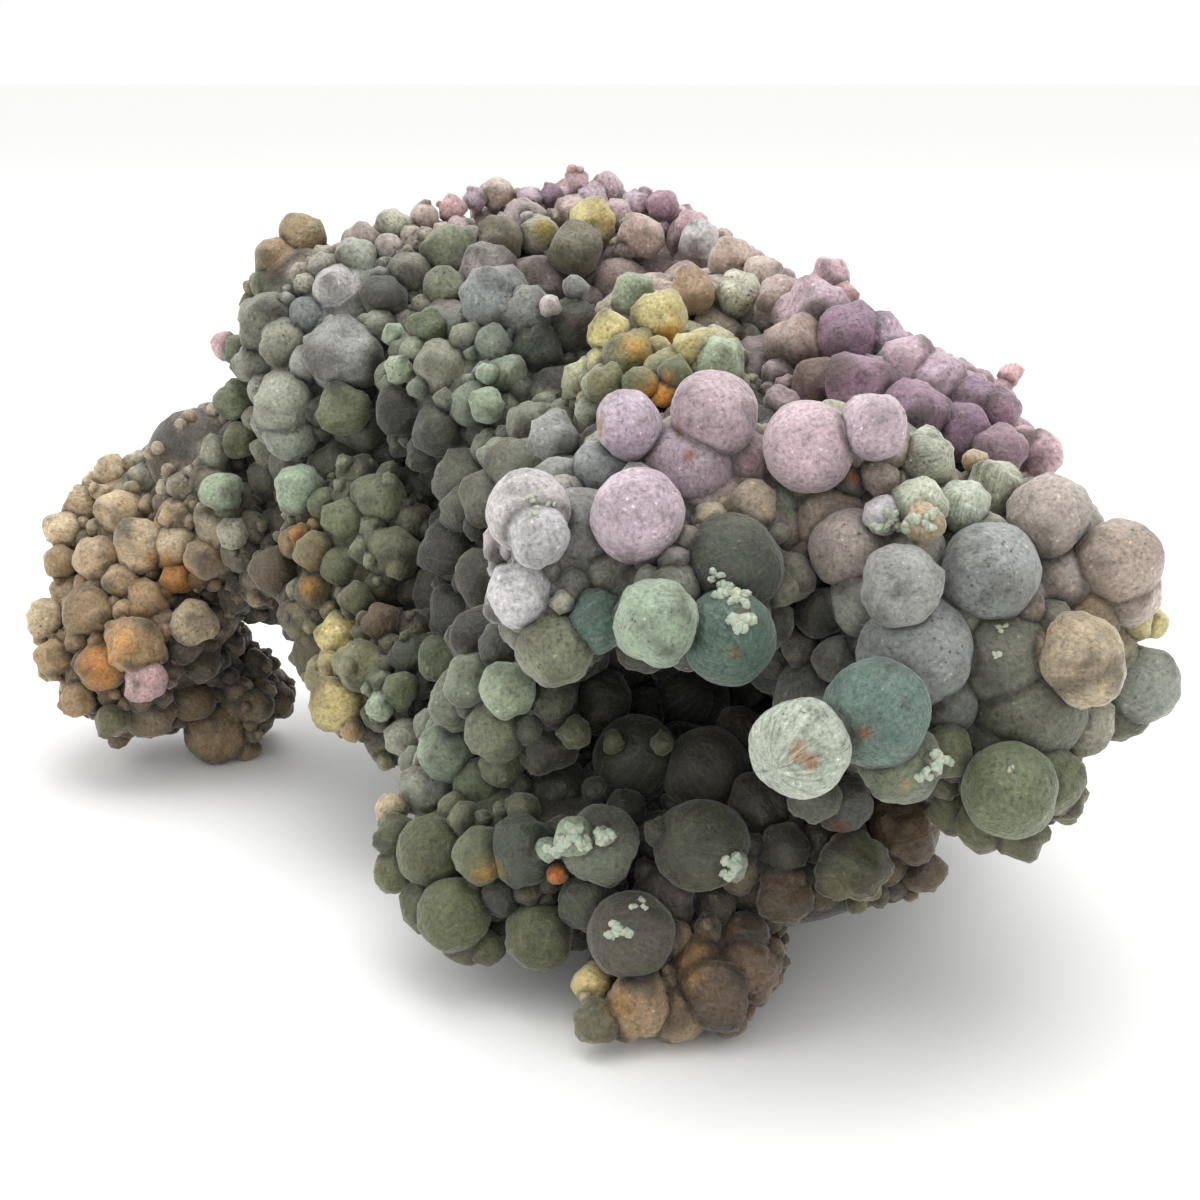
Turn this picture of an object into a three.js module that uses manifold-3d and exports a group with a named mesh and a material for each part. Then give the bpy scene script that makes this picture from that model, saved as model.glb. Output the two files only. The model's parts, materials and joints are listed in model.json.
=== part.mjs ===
// Grape agate: one piece of botryoidal chalcedony, a crust of round grapes grown together over a
// branching body. Millimetres, +Z up, origin on the ground under the middle of the specimen.

import * as THREE from 'three';
import { mergeVertices } from 'three/addons/utils/BufferGeometryUtils.js';
import Module from 'manifold-3d';

const wasm = await Module();
wasm.setup();

// Driving dimensions: the specimen is drawn DRAWN_WIDTH wide and made SPECIMEN_WIDTH wide
const SPECIMEN_WIDTH = 86.9;
const DRAWN_WIDTH = 86.9;
const SCALE = SPECIMEN_WIDTH / DRAWN_WIDTH;
const SMALLEST_FUSED = 1.9;
const ALWAYS_FUSED = 2.6;
const SMALL_LOBE = 10;

// The grapes of the front are placed by sight. A place is the point across and down the picture of
// the specimen, 1200 points wide, and its depth in mm along a line of sight that slopes down.
const VIEW_TILT = THREE.MathUtils.degToRad(18);
const EYE = new THREE.Vector3(6.9, -121.3, 62);
const MIDDLE = new THREE.Vector3(0.6, 3.85, 0);
const PICTURE_MIDDLE = 600;
const PICTURE_DISTANCE = 1700;
const SIGHT = new THREE.Vector3(0, Math.cos(VIEW_TILT), -Math.sin(VIEW_TILT));
const SIGHT_UP = new THREE.Vector3(0, Math.sin(VIEW_TILT), Math.cos(VIEW_TILT));

// Each row is one grape: across, down, depth in mm, radius in mm. The few under SMALLEST_FUSED only
// keep their places free.
const GRAPES = {
  frontRight: [
    [800, 748, 98, 3.05],
    [815, 740, 101.5, 2.5],
    [876, 714, 100, 3.3],
    [898, 761, 101, 2.5],
    [946, 752, 104, 1.7],
    [915, 652, 104, 3.55],
    [945, 700, 105, 2.1],
    [1001, 658, 105, 3.1],
    [1026, 706, 106, 3.75],
    [1010, 790, 102.6, 2.9],
    [1044, 778, 105, 2.4],
    [1080, 655, 102, 2.55],
    [1088, 672, 102, 2.2],
    [901, 586, 100.5, 2.4],
    [990, 571, 104, 3.05],
    [1049, 515, 106, 2.55],
    [1118, 562, 106, 2.75],
    [1124, 592, 107, 2.3],
    [1062, 578, 107, 2.1],
    [1150, 622, 110, 1.1],
    [1130, 622, 109, 1.4],
    [1139, 685, 109, 2.5],
    [1120, 706, 110, 2.2],
    [922, 503, 102, 1.6],
    [963, 507, 106, 1.7],
    [994, 488, 109, 1.8],
    [925, 457, 107.5, 1.9],
    [850, 548, 106, 2.6],
    [832, 524, 108, 2.5],
    [868, 602, 106, 2.4],
    [843, 804, 108.5, 1.85],
    [815, 796, 108.5, 1.7],
    [986, 822, 106, 2],
    [1019, 834, 105, 1.7],
    [1062, 800, 106, 1.5],
    [958, 812, 107.5, 1.6],
    [893, 700, 103.5, 2.4],
    [1077, 722, 107, 2.3],
    [1003, 745, 106, 2.6],
    [1090, 610, 107, 2],
    [958, 622, 105.5, 2.2],
  ],
  frontTop: [
    [528, 511, 104, 2.6],
    [538, 535, 102.5, 2.05],
    [583, 528, 106.5, 2.6],
    [637, 515, 103.2, 2.85],
    [521, 595, 105, 2.15],
    [556, 648, 105, 2.4],
    [598, 622, 104.5, 1.95],
    [657, 622, 100, 2.55],
    [729, 638, 101.5, 2.85],
    [733, 566, 104, 3.15],
    [629, 424, 107, 2.15],
    [714, 415, 107, 2.75],
    [690, 466, 108, 2.95],
    [738, 464, 109, 2.25],
    [808, 447, 105.4, 2.8],
    [875, 426, 104, 2.1],
    [604, 470, 109, 2],
    [610, 575, 106.5, 2],
  ],
  hollow: [
    [636, 758, 117.5, 2.95],
    [707, 772, 116.5, 3.05],
    [600, 700, 119, 2.4],
    [760, 806, 114, 2.3],
    [690, 700, 123.5, 2.8],
    [560, 790, 118, 2.2],
    [740, 740, 119, 2.2],
  ],
  frontLow: [
    [600, 845, 111.2, 2.5],
    [523, 850, 113, 2.35],
    [483, 855, 114, 2],
    [434, 852, 117, 2.65],
    [398, 838, 119, 1.75],
    [395, 872, 118.5, 1.5],
    [455, 915, 115, 2.6],
    [428, 908, 116.5, 1.8],
    [465, 942, 115.5, 1.4],
    [539, 936, 113.5, 2.35],
    [631, 934, 110.5, 2.95],
    [588, 902, 112.5, 2],
    [701, 845, 111, 3.05],
    [665, 895, 113, 2.3],
    [508, 690, 113.5, 1.95],
    [449, 752, 120, 2.3],
    [480, 785, 119, 2],
    [503, 765, 117, 1.5],
    [425, 792, 121, 1.9],
  ],
  foot: [
    [596, 1022, 109.5, 1.45],
    [592, 982, 110.5, 1.3],
    [640, 1004, 110.5, 2.3],
    [680, 1014, 111, 2],
    [713, 990, 111, 2.45],
    [750, 968, 111.5, 2.15],
    [744, 940, 112.5, 1.85],
    [696, 962, 111.5, 1.75],
    [786, 892, 111.5, 1.95],
    [784, 850, 111.5, 1.75],
    [853, 868, 110.5, 2.3],
    [904, 828, 113.5, 2.45],
    [921, 870, 114.5, 1.6],
    [822, 842, 112.5, 1.6],
  ],
  rightSlope: [
    [829, 277, 126, 1.6],
    [815, 313, 124, 2.6],
    [850, 338, 121, 2.5],
    [882, 338, 121, 1.8],
    [905, 365, 119, 1.95],
    [940, 381, 118, 1.95],
    [975, 402, 117, 1.8],
    [998, 413, 116.5, 1.7],
    [1020, 448, 115, 1.6],
    [1041, 455, 115, 1.55],
    [858, 388, 117, 2.35],
    [915, 412, 115, 2.3],
    [960, 432, 115.5, 2.1],
    [797, 345, 122, 2.2],
    [780, 300, 127, 1.95],
    [762, 274, 131, 1.5],
    [730, 258, 134, 1.7],
    [738, 293, 129, 1.7],
    [700, 240, 138, 1.6],
  ],
  knot: [
    [662, 318, 124, 2],
    [634, 293, 126, 1.65],
    [629, 358, 121, 1.85],
    [718, 362, 119.2, 1.9],
    [606, 384, 118, 1.4],
    [692, 292, 128, 1.8],
  ],
  crest: [
    [585, 189, 149.5, 1.95],
    [645, 205, 146.5, 1.9],
    [515, 203, 148.5, 1.9],
    [455, 214, 148, 1.9],
    [393, 226, 146, 1.5],
    [690, 228, 143, 1.4],
    [593, 222, 144, 1.9],
    [640, 235, 142, 1.9],
    [577, 250, 141, 2.2],
    [540, 235, 144, 1.8],
    [500, 240, 143, 2],
    [450, 250, 142.5, 2.2],
  ],
  leftTop: [
    [303, 237, 146, 2],
    [277, 260, 145, 1.9],
    [335, 290, 141, 2],
    [307, 317, 141, 1.75],
    [343, 357, 138, 3],
    [284, 405, 139, 2.45],
    [291, 435, 140, 2.15],
    [343, 408, 137, 2.1],
    [256, 362, 144, 1.9],
    [430, 328, 134, 1.65],
    [442, 367, 132, 2.1],
    [554, 436, 119, 1.75],
    [494, 300, 133, 2.6],
    [527, 312, 132, 2.1],
    [385, 298, 140, 2],
    [357, 262, 143, 2],
    [410, 275, 142, 2],
    [445, 290, 140, 1.8],
    [400, 412, 134, 2],
    [575, 325, 132.6, 2.2],
    [535, 350, 132, 2.2],
    [235, 400, 146, 1.7],
    [240, 440, 146, 1.6],
  ],
  leftColumn: [
    [299, 488, 138, 1.95],
    [345, 519, 136, 1.85],
    [222, 492, 144, 1.75],
    [340, 565, 135.5, 1.6],
    [339, 637, 135, 1.8],
    [382, 622, 132, 1.5],
    [440, 660, 127, 1.7],
    [339, 703, 132, 2.1],
    [275, 570, 140, 2],
    [315, 590, 136.5, 1.6],
  ],
  leftLobe: [
    [110, 472, 153, 1.6],
    [182, 448, 152, 1.9],
    [82, 503, 152, 1.5],
    [64, 530, 151, 1.65],
    [45, 618, 149, 1.7],
    [56, 657, 148, 1.7],
    [78, 700, 147, 1.45],
    [112, 720, 147, 1.55],
    [120, 512, 150, 2.1],
    [143, 545, 148, 2.4],
    [176, 545, 147, 1.8],
    [98, 560, 149, 2.1],
    [90, 612, 147, 2.3],
    [194, 622, 146, 2],
    [135, 645, 145, 2.5],
    [146, 680, 145, 1.9],
    [102, 667, 146, 2.1],
    [148, 602, 147, 1.9],
    [219, 731, 155, 2.75],
    [190, 700, 152.5, 2.1],
  ],
};

// The branching body under the grapes, as rounded lobes: middle, half sizes and the radius of the
// grapes that crowd on it
const LOBES = [
  { name: 'right front', middle: [29.5, -15.5, 25.5], half: [11, 7.5, 9.3], grape: 2.8 },
  { name: 'under front', middle: [31, -20, 20.5], half: [6, 5, 4], grape: 2.2 },
  { name: 'upper front', middle: [13, -14, 31.5], half: [10.5, 6, 6.5], grape: 2.4 },
  { name: 'upper left front', middle: [5, -17.2, 30], half: [4.5, 4, 5], grape: 2.0 },
  { name: 'upper low', middle: [12.5, -20, 30], half: [6, 4, 3.6], grape: 2.0 },
  { name: 'upper right front', middle: [24, -13.5, 36], half: [5, 4, 4], grape: 2.0 },
  { name: 'lower front', middle: [4, -13, 8.8], half: [9, 6.5, 5.3], grape: 2.2 },
  { name: 'lower step', middle: [1.5, -7, 12], half: [8, 6, 6], grape: 2.0 },
  { name: 'base front', middle: [19, -15, 9.4], half: [9, 6, 5.2], grape: 2.1 },
  { name: 'foot', middle: [13, -19.6, 3.7], half: [5.6, 4, 4.3], grape: 1.8 },
  { name: 'right slope', middle: [26, 2, 34], half: [11, 11, 7.5], grape: 2.5 },
  { name: 'saddle', middle: [15.5, 15, 37.5], half: [9, 8, 6.5], grape: 2.4 },
  { name: 'heart', middle: [10, 6, 24], half: [15, 12, 14], grape: 2.8 },
  { name: 'knot', middle: [12.5, 2, 37.5], half: [7, 6.5, 4.2], grape: 1.8 },
  { name: 'left shoulder', middle: [-1, 13, 35], half: [9, 6, 6.5], grape: 2.1 },
  { name: 'crest', middle: [6, 30.5, 37.6], half: [17, 9.5, 11], grape: 2.7 },
  { name: 'left top', middle: [-14, 24, 33], half: [9, 8, 12.5], grape: 2.6 },
  { name: 'left column', middle: [-11, 14, 20], half: [8, 7, 9], grape: 2.3 },
  { name: 'column foot', middle: [-8, 6, 14], half: [7, 6, 5], grape: 1.9 },
  { name: 'left lobe top', middle: [-34.5, 29.2, 20], half: [7.5, 6.5, 7.8], grape: 2.2 },
  { name: 'left lobe', middle: [-34, 23.6, 11.5], half: [7.5, 7.5, 7.5], grape: 2.2 },
  { name: 'left lobe foot', middle: [-26.5, 25, 4.5], half: [3.6, 4, 4.6], grape: 2.1 },
  { name: 'bridge', middle: [-24, 24, 20], half: [9, 6, 5], grape: 2.2 },
  { name: 'root', middle: [9, -2, 12], half: [10, 8, 7], grape: 2.4 },
  { name: 'right neck', middle: [28, -7, 24], half: [9, 7, 9], grape: 2.6 },
  { name: 'upper neck', middle: [14, -5, 31], half: [10, 7, 6.5], grape: 2.4 },
  { name: 'stem', middle: [1.5, -9, 19], half: [5, 6, 6], grape: 1.9 },
  { name: 'left saddle', middle: [-5, 24, 40], half: [7, 6, 5], grape: 2.2 },
  { name: 'left horn', middle: [-19, 26, 42.3], half: [4, 4, 4], grape: 1.8 },
  { name: 'back', middle: [10, 24, 18], half: [19, 13, 14], grape: 3.7 },
  { name: 'back foot', middle: [12, 25, 6], half: [11, 8, 6.5], grape: 3.0 },
  { name: 'right back', middle: [27, 6, 20], half: [11, 13, 13], grape: 3.6 },
  { name: 'right foot', middle: [23, 4, 6.5], half: [8, 8, 7], grape: 2.8 },
];

// The specimen's outline in the picture, across and down: no filling grape reaches past it
const OUTLINE = [
  [27, 612], [52, 580], [44, 552], [62, 512], [88, 478], [140, 455], [190, 412], [215, 402],
  [205, 342], [236, 330], [243, 300], [268, 250], [302, 215], [335, 235], [400, 207], [484, 178],
  [530, 185], [572, 168], [612, 172], [640, 190], [672, 192], [700, 220], [800, 272], [815, 258],
  [842, 258], [856, 290], [895, 325], [925, 350], [992, 378], [1012, 361], [1025, 380],
  [1015, 400], [1062, 440], [1060, 476], [1122, 514], [1150, 530], [1158, 565], [1152, 600],
  [1167, 625], [1165, 680], [1150, 735], [1085, 748], [1078, 800], [1030, 855], [950, 845],
  [925, 890], [862, 905], [820, 898], [785, 930], [785, 975], [755, 1010], [700, 1047],
  [595, 1047], [573, 1020], [582, 968], [545, 974], [520, 950], [480, 965], [432, 945],
  [405, 872], [372, 858], [380, 800], [398, 775], [352, 742], [320, 715], [270, 716], [255, 755],
  [220, 772], [185, 755], [165, 733], [118, 738], [65, 712], [32, 650],
];

// The filling grapes are thrown at the lobes by three steady steps round the circle, and one stays
// where it is neither buried, crowded, past the outline nor in front of a grape placed by sight
const THROWS = 260;
const THROW_STEPS = [0.8191725134, 0.6710436067, 0.5497004779];
const SIZE_SPREAD = 0.16;
const CROWDING = 1.4;
const OUTLINE_ROOM = 0.85;
const BURIED_DEPTH = 0.9;
const GROUND_ROOM = 0.75;

// How the fused grapes are drawn
const FUSED_SPACING = 1.25;
const SUNK_DEPTH = 0.45;
const FINE_BALLS = 8;
const BALL_SWELL = { fine: 1.03, plain: 1.1 };
const LOBE_SWELL = { fine: 1.05, plain: 1.16 };
const GROUND_SIDE = 200;
const GROUND_DEPTH = 20;
const AGATE_COLOUR = 0x8d9788;
const AGATE_ROUGHNESS = 0.45;

function placeBySight([across, down, depth]) {
  const reach = depth / PICTURE_DISTANCE;
  return EYE.clone()
    .addScaledVector(SIGHT, depth)
    .addScaledVector(SIGHT_UP, (PICTURE_MIDDLE - down) * reach)
    .add(new THREE.Vector3((across - PICTURE_MIDDLE) * reach, 0, 0));
}

function seenAt(place) {
  const offset = place.clone().sub(EYE);
  const depth = offset.dot(SIGHT);
  const scale = PICTURE_DISTANCE / depth;
  return {
    across: PICTURE_MIDDLE + offset.x * scale,
    down: PICTURE_MIDDLE - offset.dot(SIGHT_UP) * scale,
    depth,
    scale,
  };
}

function insideOutline({ across, down }) {
  let inside = false;
  OUTLINE.forEach(([x1, y1], i) => {
    const [x2, y2] = OUTLINE[(i + 1) % OUTLINE.length];
    const crosses = y1 > down !== y2 > down;
    if (crosses && across < ((x2 - x1) * (down - y1)) / (y2 - y1) + x1) inside = !inside;
  });
  return inside;
}

function outlineDistance({ across, down }) {
  const gaps = OUTLINE.map(([x1, y1], i) => {
    const [x2, y2] = OUTLINE[(i + 1) % OUTLINE.length];
    const length2 = (x2 - x1) ** 2 + (y2 - y1) ** 2;
    const along = ((across - x1) * (x2 - x1) + (down - y1) * (y2 - y1)) / length2;
    const share = THREE.MathUtils.clamp(along, 0, 1);
    return Math.hypot(x1 + share * (x2 - x1) - across, y1 + share * (y2 - y1) - down);
  });
  return Math.min(...gaps);
}

// How far out a place is in a lobe: 0 at its middle, 1 on its surface
function lobeLevel(place, { middle, half }) {
  return Math.hypot(...place.toArray().map((value, axis) => (value - middle[axis]) / half[axis]));
}

function isDeep({ place, radius }, lobes, share) {
  return lobes.some((lobe) => lobeLevel(place, lobe) < 1 - (share * radius) / Math.min(...lobe.half));
}

function isCrowded({ place, radius }, taken, share) {
  return taken.some((other) => other.place.distanceTo(place) < share * (other.radius + radius));
}

function sightedGrapes() {
  return Object.values(GRAPES)
    .flat()
    .map((row) => {
      const place = placeBySight(row);
      return { place, radius: row[3], seen: seenAt(place) };
    });
}

function hidesSighted(grape, sighted) {
  return sighted.some(({ radius, seen }) => {
    const aside = Math.hypot(seen.across - grape.seen.across, seen.down - grape.seen.down);
    const reach = radius * seen.scale + 0.35 * grape.radius * grape.seen.scale;
    return seen.depth - 0.2 * radius > grape.seen.depth && aside < reach;
  });
}

function fits(grape, lobe, taken, sighted) {
  const { place, radius, seen } = grape;
  const others = LOBES.filter((other) => other !== lobe);
  if (isDeep(grape, others, BURIED_DEPTH) || place.z < GROUND_ROOM * radius) return false;
  if (isCrowded(grape, taken, CROWDING)) return false;
  if (!insideOutline(seen) || outlineDistance(seen) < OUTLINE_ROOM * radius * seen.scale) return false;
  return !hidesSighted(grape, sighted);
}

function thrownGrape(lobe, thrown) {
  const [height, turn, size] = THROW_STEPS.map((step) => (thrown * step) % 1);
  const up = 1 - 2 * height;
  const out = Math.sqrt(1 - up * up);
  const place = new THREE.Vector3(out * Math.cos(2 * Math.PI * turn), out * Math.sin(2 * Math.PI * turn), up);
  place.multiply(new THREE.Vector3(...lobe.half)).add(new THREE.Vector3(...lobe.middle));
  return { place, radius: lobe.grape * (1 + SIZE_SPREAD * (2 * size - 1)), seen: seenAt(place) };
}

function fillingGrapes(sighted) {
  const filling = [];
  LOBES.forEach((lobe, lobeNumber) => {
    for (let i = 1; i <= THROWS; i += 1) {
      const grape = thrownGrape(lobe, lobeNumber * THROWS + i);
      if (fits(grape, lobe, [...sighted, ...filling], sighted)) filling.push(grape);
    }
  });
  return filling;
}

// The grapes that are fused to the body: the large ones, and smaller ones that have room round them
function fusedGrapes() {
  const sighted = sightedGrapes();
  const bySize = [...sighted].sort((one, two) => two.radius - one.radius);
  const fused = [];
  for (const grape of [...bySize, ...fillingGrapes(sighted)]) {
    const roomy = grape.radius >= SMALLEST_FUSED && !isCrowded(grape, fused, FUSED_SPACING);
    const standsOut = !isDeep(grape, LOBES, SUNK_DEPTH);
    if (standsOut && (roomy || grape.radius >= ALWAYS_FUSED)) fused.push(grape);
  }
  return fused;
}

function toSolid(source) {
  source.deleteAttribute('normal');
  source.deleteAttribute('uv');
  const geometry = mergeVertices(source, 1e-5);
  const mesh = new wasm.Mesh({
    numProp: 3,
    vertProperties: Float32Array.from(geometry.attributes.position.array),
    triVerts: Uint32Array.from(geometry.index.array),
  });
  return new wasm.Manifold(mesh);
}

// A facetted ball or lobe. Its number turns it, so that no two lie alike.
function roundSolid(half, middle, fine, swell, number) {
  const ball = new THREE.IcosahedronGeometry(swell, fine ? 1 : 0);
  ball.rotateX(number).rotateZ(2.4 * number).scale(...half).translate(...middle);
  return toSolid(ball);
}

function grapeSolid({ place, radius }, number) {
  const fine = number < FINE_BALLS;
  const swell = fine ? BALL_SWELL.fine : BALL_SWELL.plain;
  return roundSolid([radius, radius, radius], place, fine, swell, number);
}

function lobeSolid({ middle, half }, number) {
  const fine = Math.max(...half) > SMALL_LOBE;
  return roundSolid(half, middle, fine, fine ? LOBE_SWELL.fine : LOBE_SWELL.plain, number);
}

// Joins the solids two by two, so that each join stays small for as long as it can
function joinAll(solids) {
  if (solids.length === 1) return solids[0];
  const half = Math.ceil(solids.length / 2);
  return joinAll(solids.slice(0, half)).add(joinAll(solids.slice(half)));
}

// The joined body, cut flat where it stands on the ground. The largest piece is the outer skin:
// the small closed pockets that the lobes leave between them are left out, so it is solid.
function agateSolid() {
  const joined = joinAll([...LOBES.map(lobeSolid), ...fusedGrapes().map(grapeSolid)]);
  const ground = new THREE.BoxGeometry(GROUND_SIDE, GROUND_SIDE, GROUND_DEPTH);
  ground.translate(0, 0, -GROUND_DEPTH / 2);
  const pieces = joined.subtract(toSolid(ground)).decompose();
  return pieces.sort((one, two) => two.volume() - one.volume())[0];
}

function agateMesh() {
  const { vertProperties, triVerts } = agateSolid().getMesh();
  const geometry = new THREE.BufferGeometry();
  geometry.setAttribute('position', new THREE.BufferAttribute(Float32Array.from(vertProperties), 3));
  geometry.setIndex(new THREE.BufferAttribute(Uint32Array.from(triVerts), 1));
  geometry.translate(-MIDDLE.x, -MIDDLE.y, -MIDDLE.z).scale(SCALE, SCALE, SCALE);
  const material = new THREE.MeshStandardMaterial({
    color: AGATE_COLOUR,
    roughness: AGATE_ROUGHNESS,
    metalness: 0,
  });
  const mesh = new THREE.Mesh(geometry, material);
  mesh.name = 'grape_agate';
  return mesh;
}

const specimen = new THREE.Group();
specimen.add(agateMesh());

export default specimen;
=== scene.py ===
# %% [markdown]
# # Grape agate
# Grape agate is chalcedony: quartz whose crystals are far too small to see. It grew as hundreds of
# little balls that ran into each other, over a rough branching body. Where two balls meet there is a
# sharp valley, so the whole piece reads as a heap of grapes. In this lesson the grapes are placed
# first, then real balls are united into one closed surface, and last the stone gets its finish.

# %% Read the measured model
import json
import math

import bmesh
import bpy
import numpy as np
from mathutils import Matrix, Vector, kdtree, noise

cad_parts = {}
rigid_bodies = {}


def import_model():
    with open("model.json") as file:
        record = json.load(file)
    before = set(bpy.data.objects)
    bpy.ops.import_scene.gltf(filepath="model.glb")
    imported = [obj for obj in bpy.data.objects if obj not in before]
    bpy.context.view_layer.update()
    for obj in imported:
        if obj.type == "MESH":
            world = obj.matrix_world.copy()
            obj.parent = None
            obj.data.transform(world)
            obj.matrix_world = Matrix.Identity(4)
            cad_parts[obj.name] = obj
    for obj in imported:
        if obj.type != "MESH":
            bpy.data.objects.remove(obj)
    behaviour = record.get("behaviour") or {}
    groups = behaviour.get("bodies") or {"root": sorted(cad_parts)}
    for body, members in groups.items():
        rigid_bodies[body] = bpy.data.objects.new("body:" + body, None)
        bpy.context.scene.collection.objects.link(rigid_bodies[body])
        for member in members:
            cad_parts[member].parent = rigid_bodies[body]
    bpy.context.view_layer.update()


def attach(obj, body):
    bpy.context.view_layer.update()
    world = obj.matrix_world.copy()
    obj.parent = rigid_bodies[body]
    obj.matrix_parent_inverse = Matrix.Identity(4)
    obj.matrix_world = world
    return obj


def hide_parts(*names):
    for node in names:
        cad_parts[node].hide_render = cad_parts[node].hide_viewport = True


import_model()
MM = 0.001

# %% [markdown]
# ## Where the eye is
# The front grapes were placed one by one, so each of them is written as a sight: the point across and down
# the picture, and how deep it lies along the line of sight. The eye looks down by 18 degrees. The same sight
# turns a row into a place on the stone, and later sets up the camera.

# %% The line of sight
VIEW_TILT = math.radians(18)
EYE = np.array([6.9, -121.3, 62.0])
MIDDLE = np.array([0.6, 3.85, 0.0])
PICTURE_MIDDLE = 600
PICTURE_DISTANCE = 1700
SIGHT = np.array([0.0, math.cos(VIEW_TILT), -math.sin(VIEW_TILT)])
SIGHT_UP = np.array([0.0, math.sin(VIEW_TILT), math.cos(VIEW_TILT)])


def place_by_sight(across, down, depth):
    reach = depth / PICTURE_DISTANCE
    side = np.array([(across - PICTURE_MIDDLE) * reach, 0.0, 0.0])
    return EYE + SIGHT * depth + SIGHT_UP * (PICTURE_MIDDLE - down) * reach + side


def seen_at(places):
    """Across, down, depth and scale of many places, one row each."""
    offset = places - EYE
    depth = offset @ SIGHT
    scale = PICTURE_DISTANCE / depth
    across = PICTURE_MIDDLE + offset[:, 0] * scale
    return np.column_stack([across, PICTURE_MIDDLE - offset @ SIGHT_UP * scale, depth, scale])


# %% [markdown]
# ## Colours of the chalcedony
# Traces of iron and manganese colour each grape in its own way, and neighbours differ: slate, teal and grey
# in front, lilac above, plum down the right slope, cream and tan on the left, with a few stained orange. Each
# colour has one letter, which a row of a grape ends with. The letter d is no colour of the stone but painted
# shade, near black, for grapes that lie in shade.

# %% One colour for each letter
TINTS = {
    "l": "#beaab8",
    "p": "#866a7e",
    "r": "#c0a0a5",
    "w": "#c2bdbd",
    "f": "#b7bca8",
    "t": "#43645a",
    "m": "#9cab93",
    "g": "#656e4f",
    "h": "#626559",
    "s": "#353c2d",
    "e": "#8e9190",
    "k": "#97998b",
    "c": "#bca787",
    "n": "#b4a399",
    "a": "#99815e",
    "b": "#4f3c24",
    "o": "#945f1d",
    "y": "#cdc088",
    # d: painted shade, near black, for grapes deep in the hollows
    "v": "#555838",
    "d": "#1e1f11",
}


def linear(hex_colour):
    """An sRGB hex colour as the linear numbers that Blender's sockets hold."""
    parts = [int(hex_colour[i : i + 2], 16) / 255 for i in (1, 3, 5)]
    return [part / 12.92 if part <= 0.04045 else ((part + 0.055) / 1.055) ** 2.4 for part in parts]


print("colours of the grapes:", len(TINTS))
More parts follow.
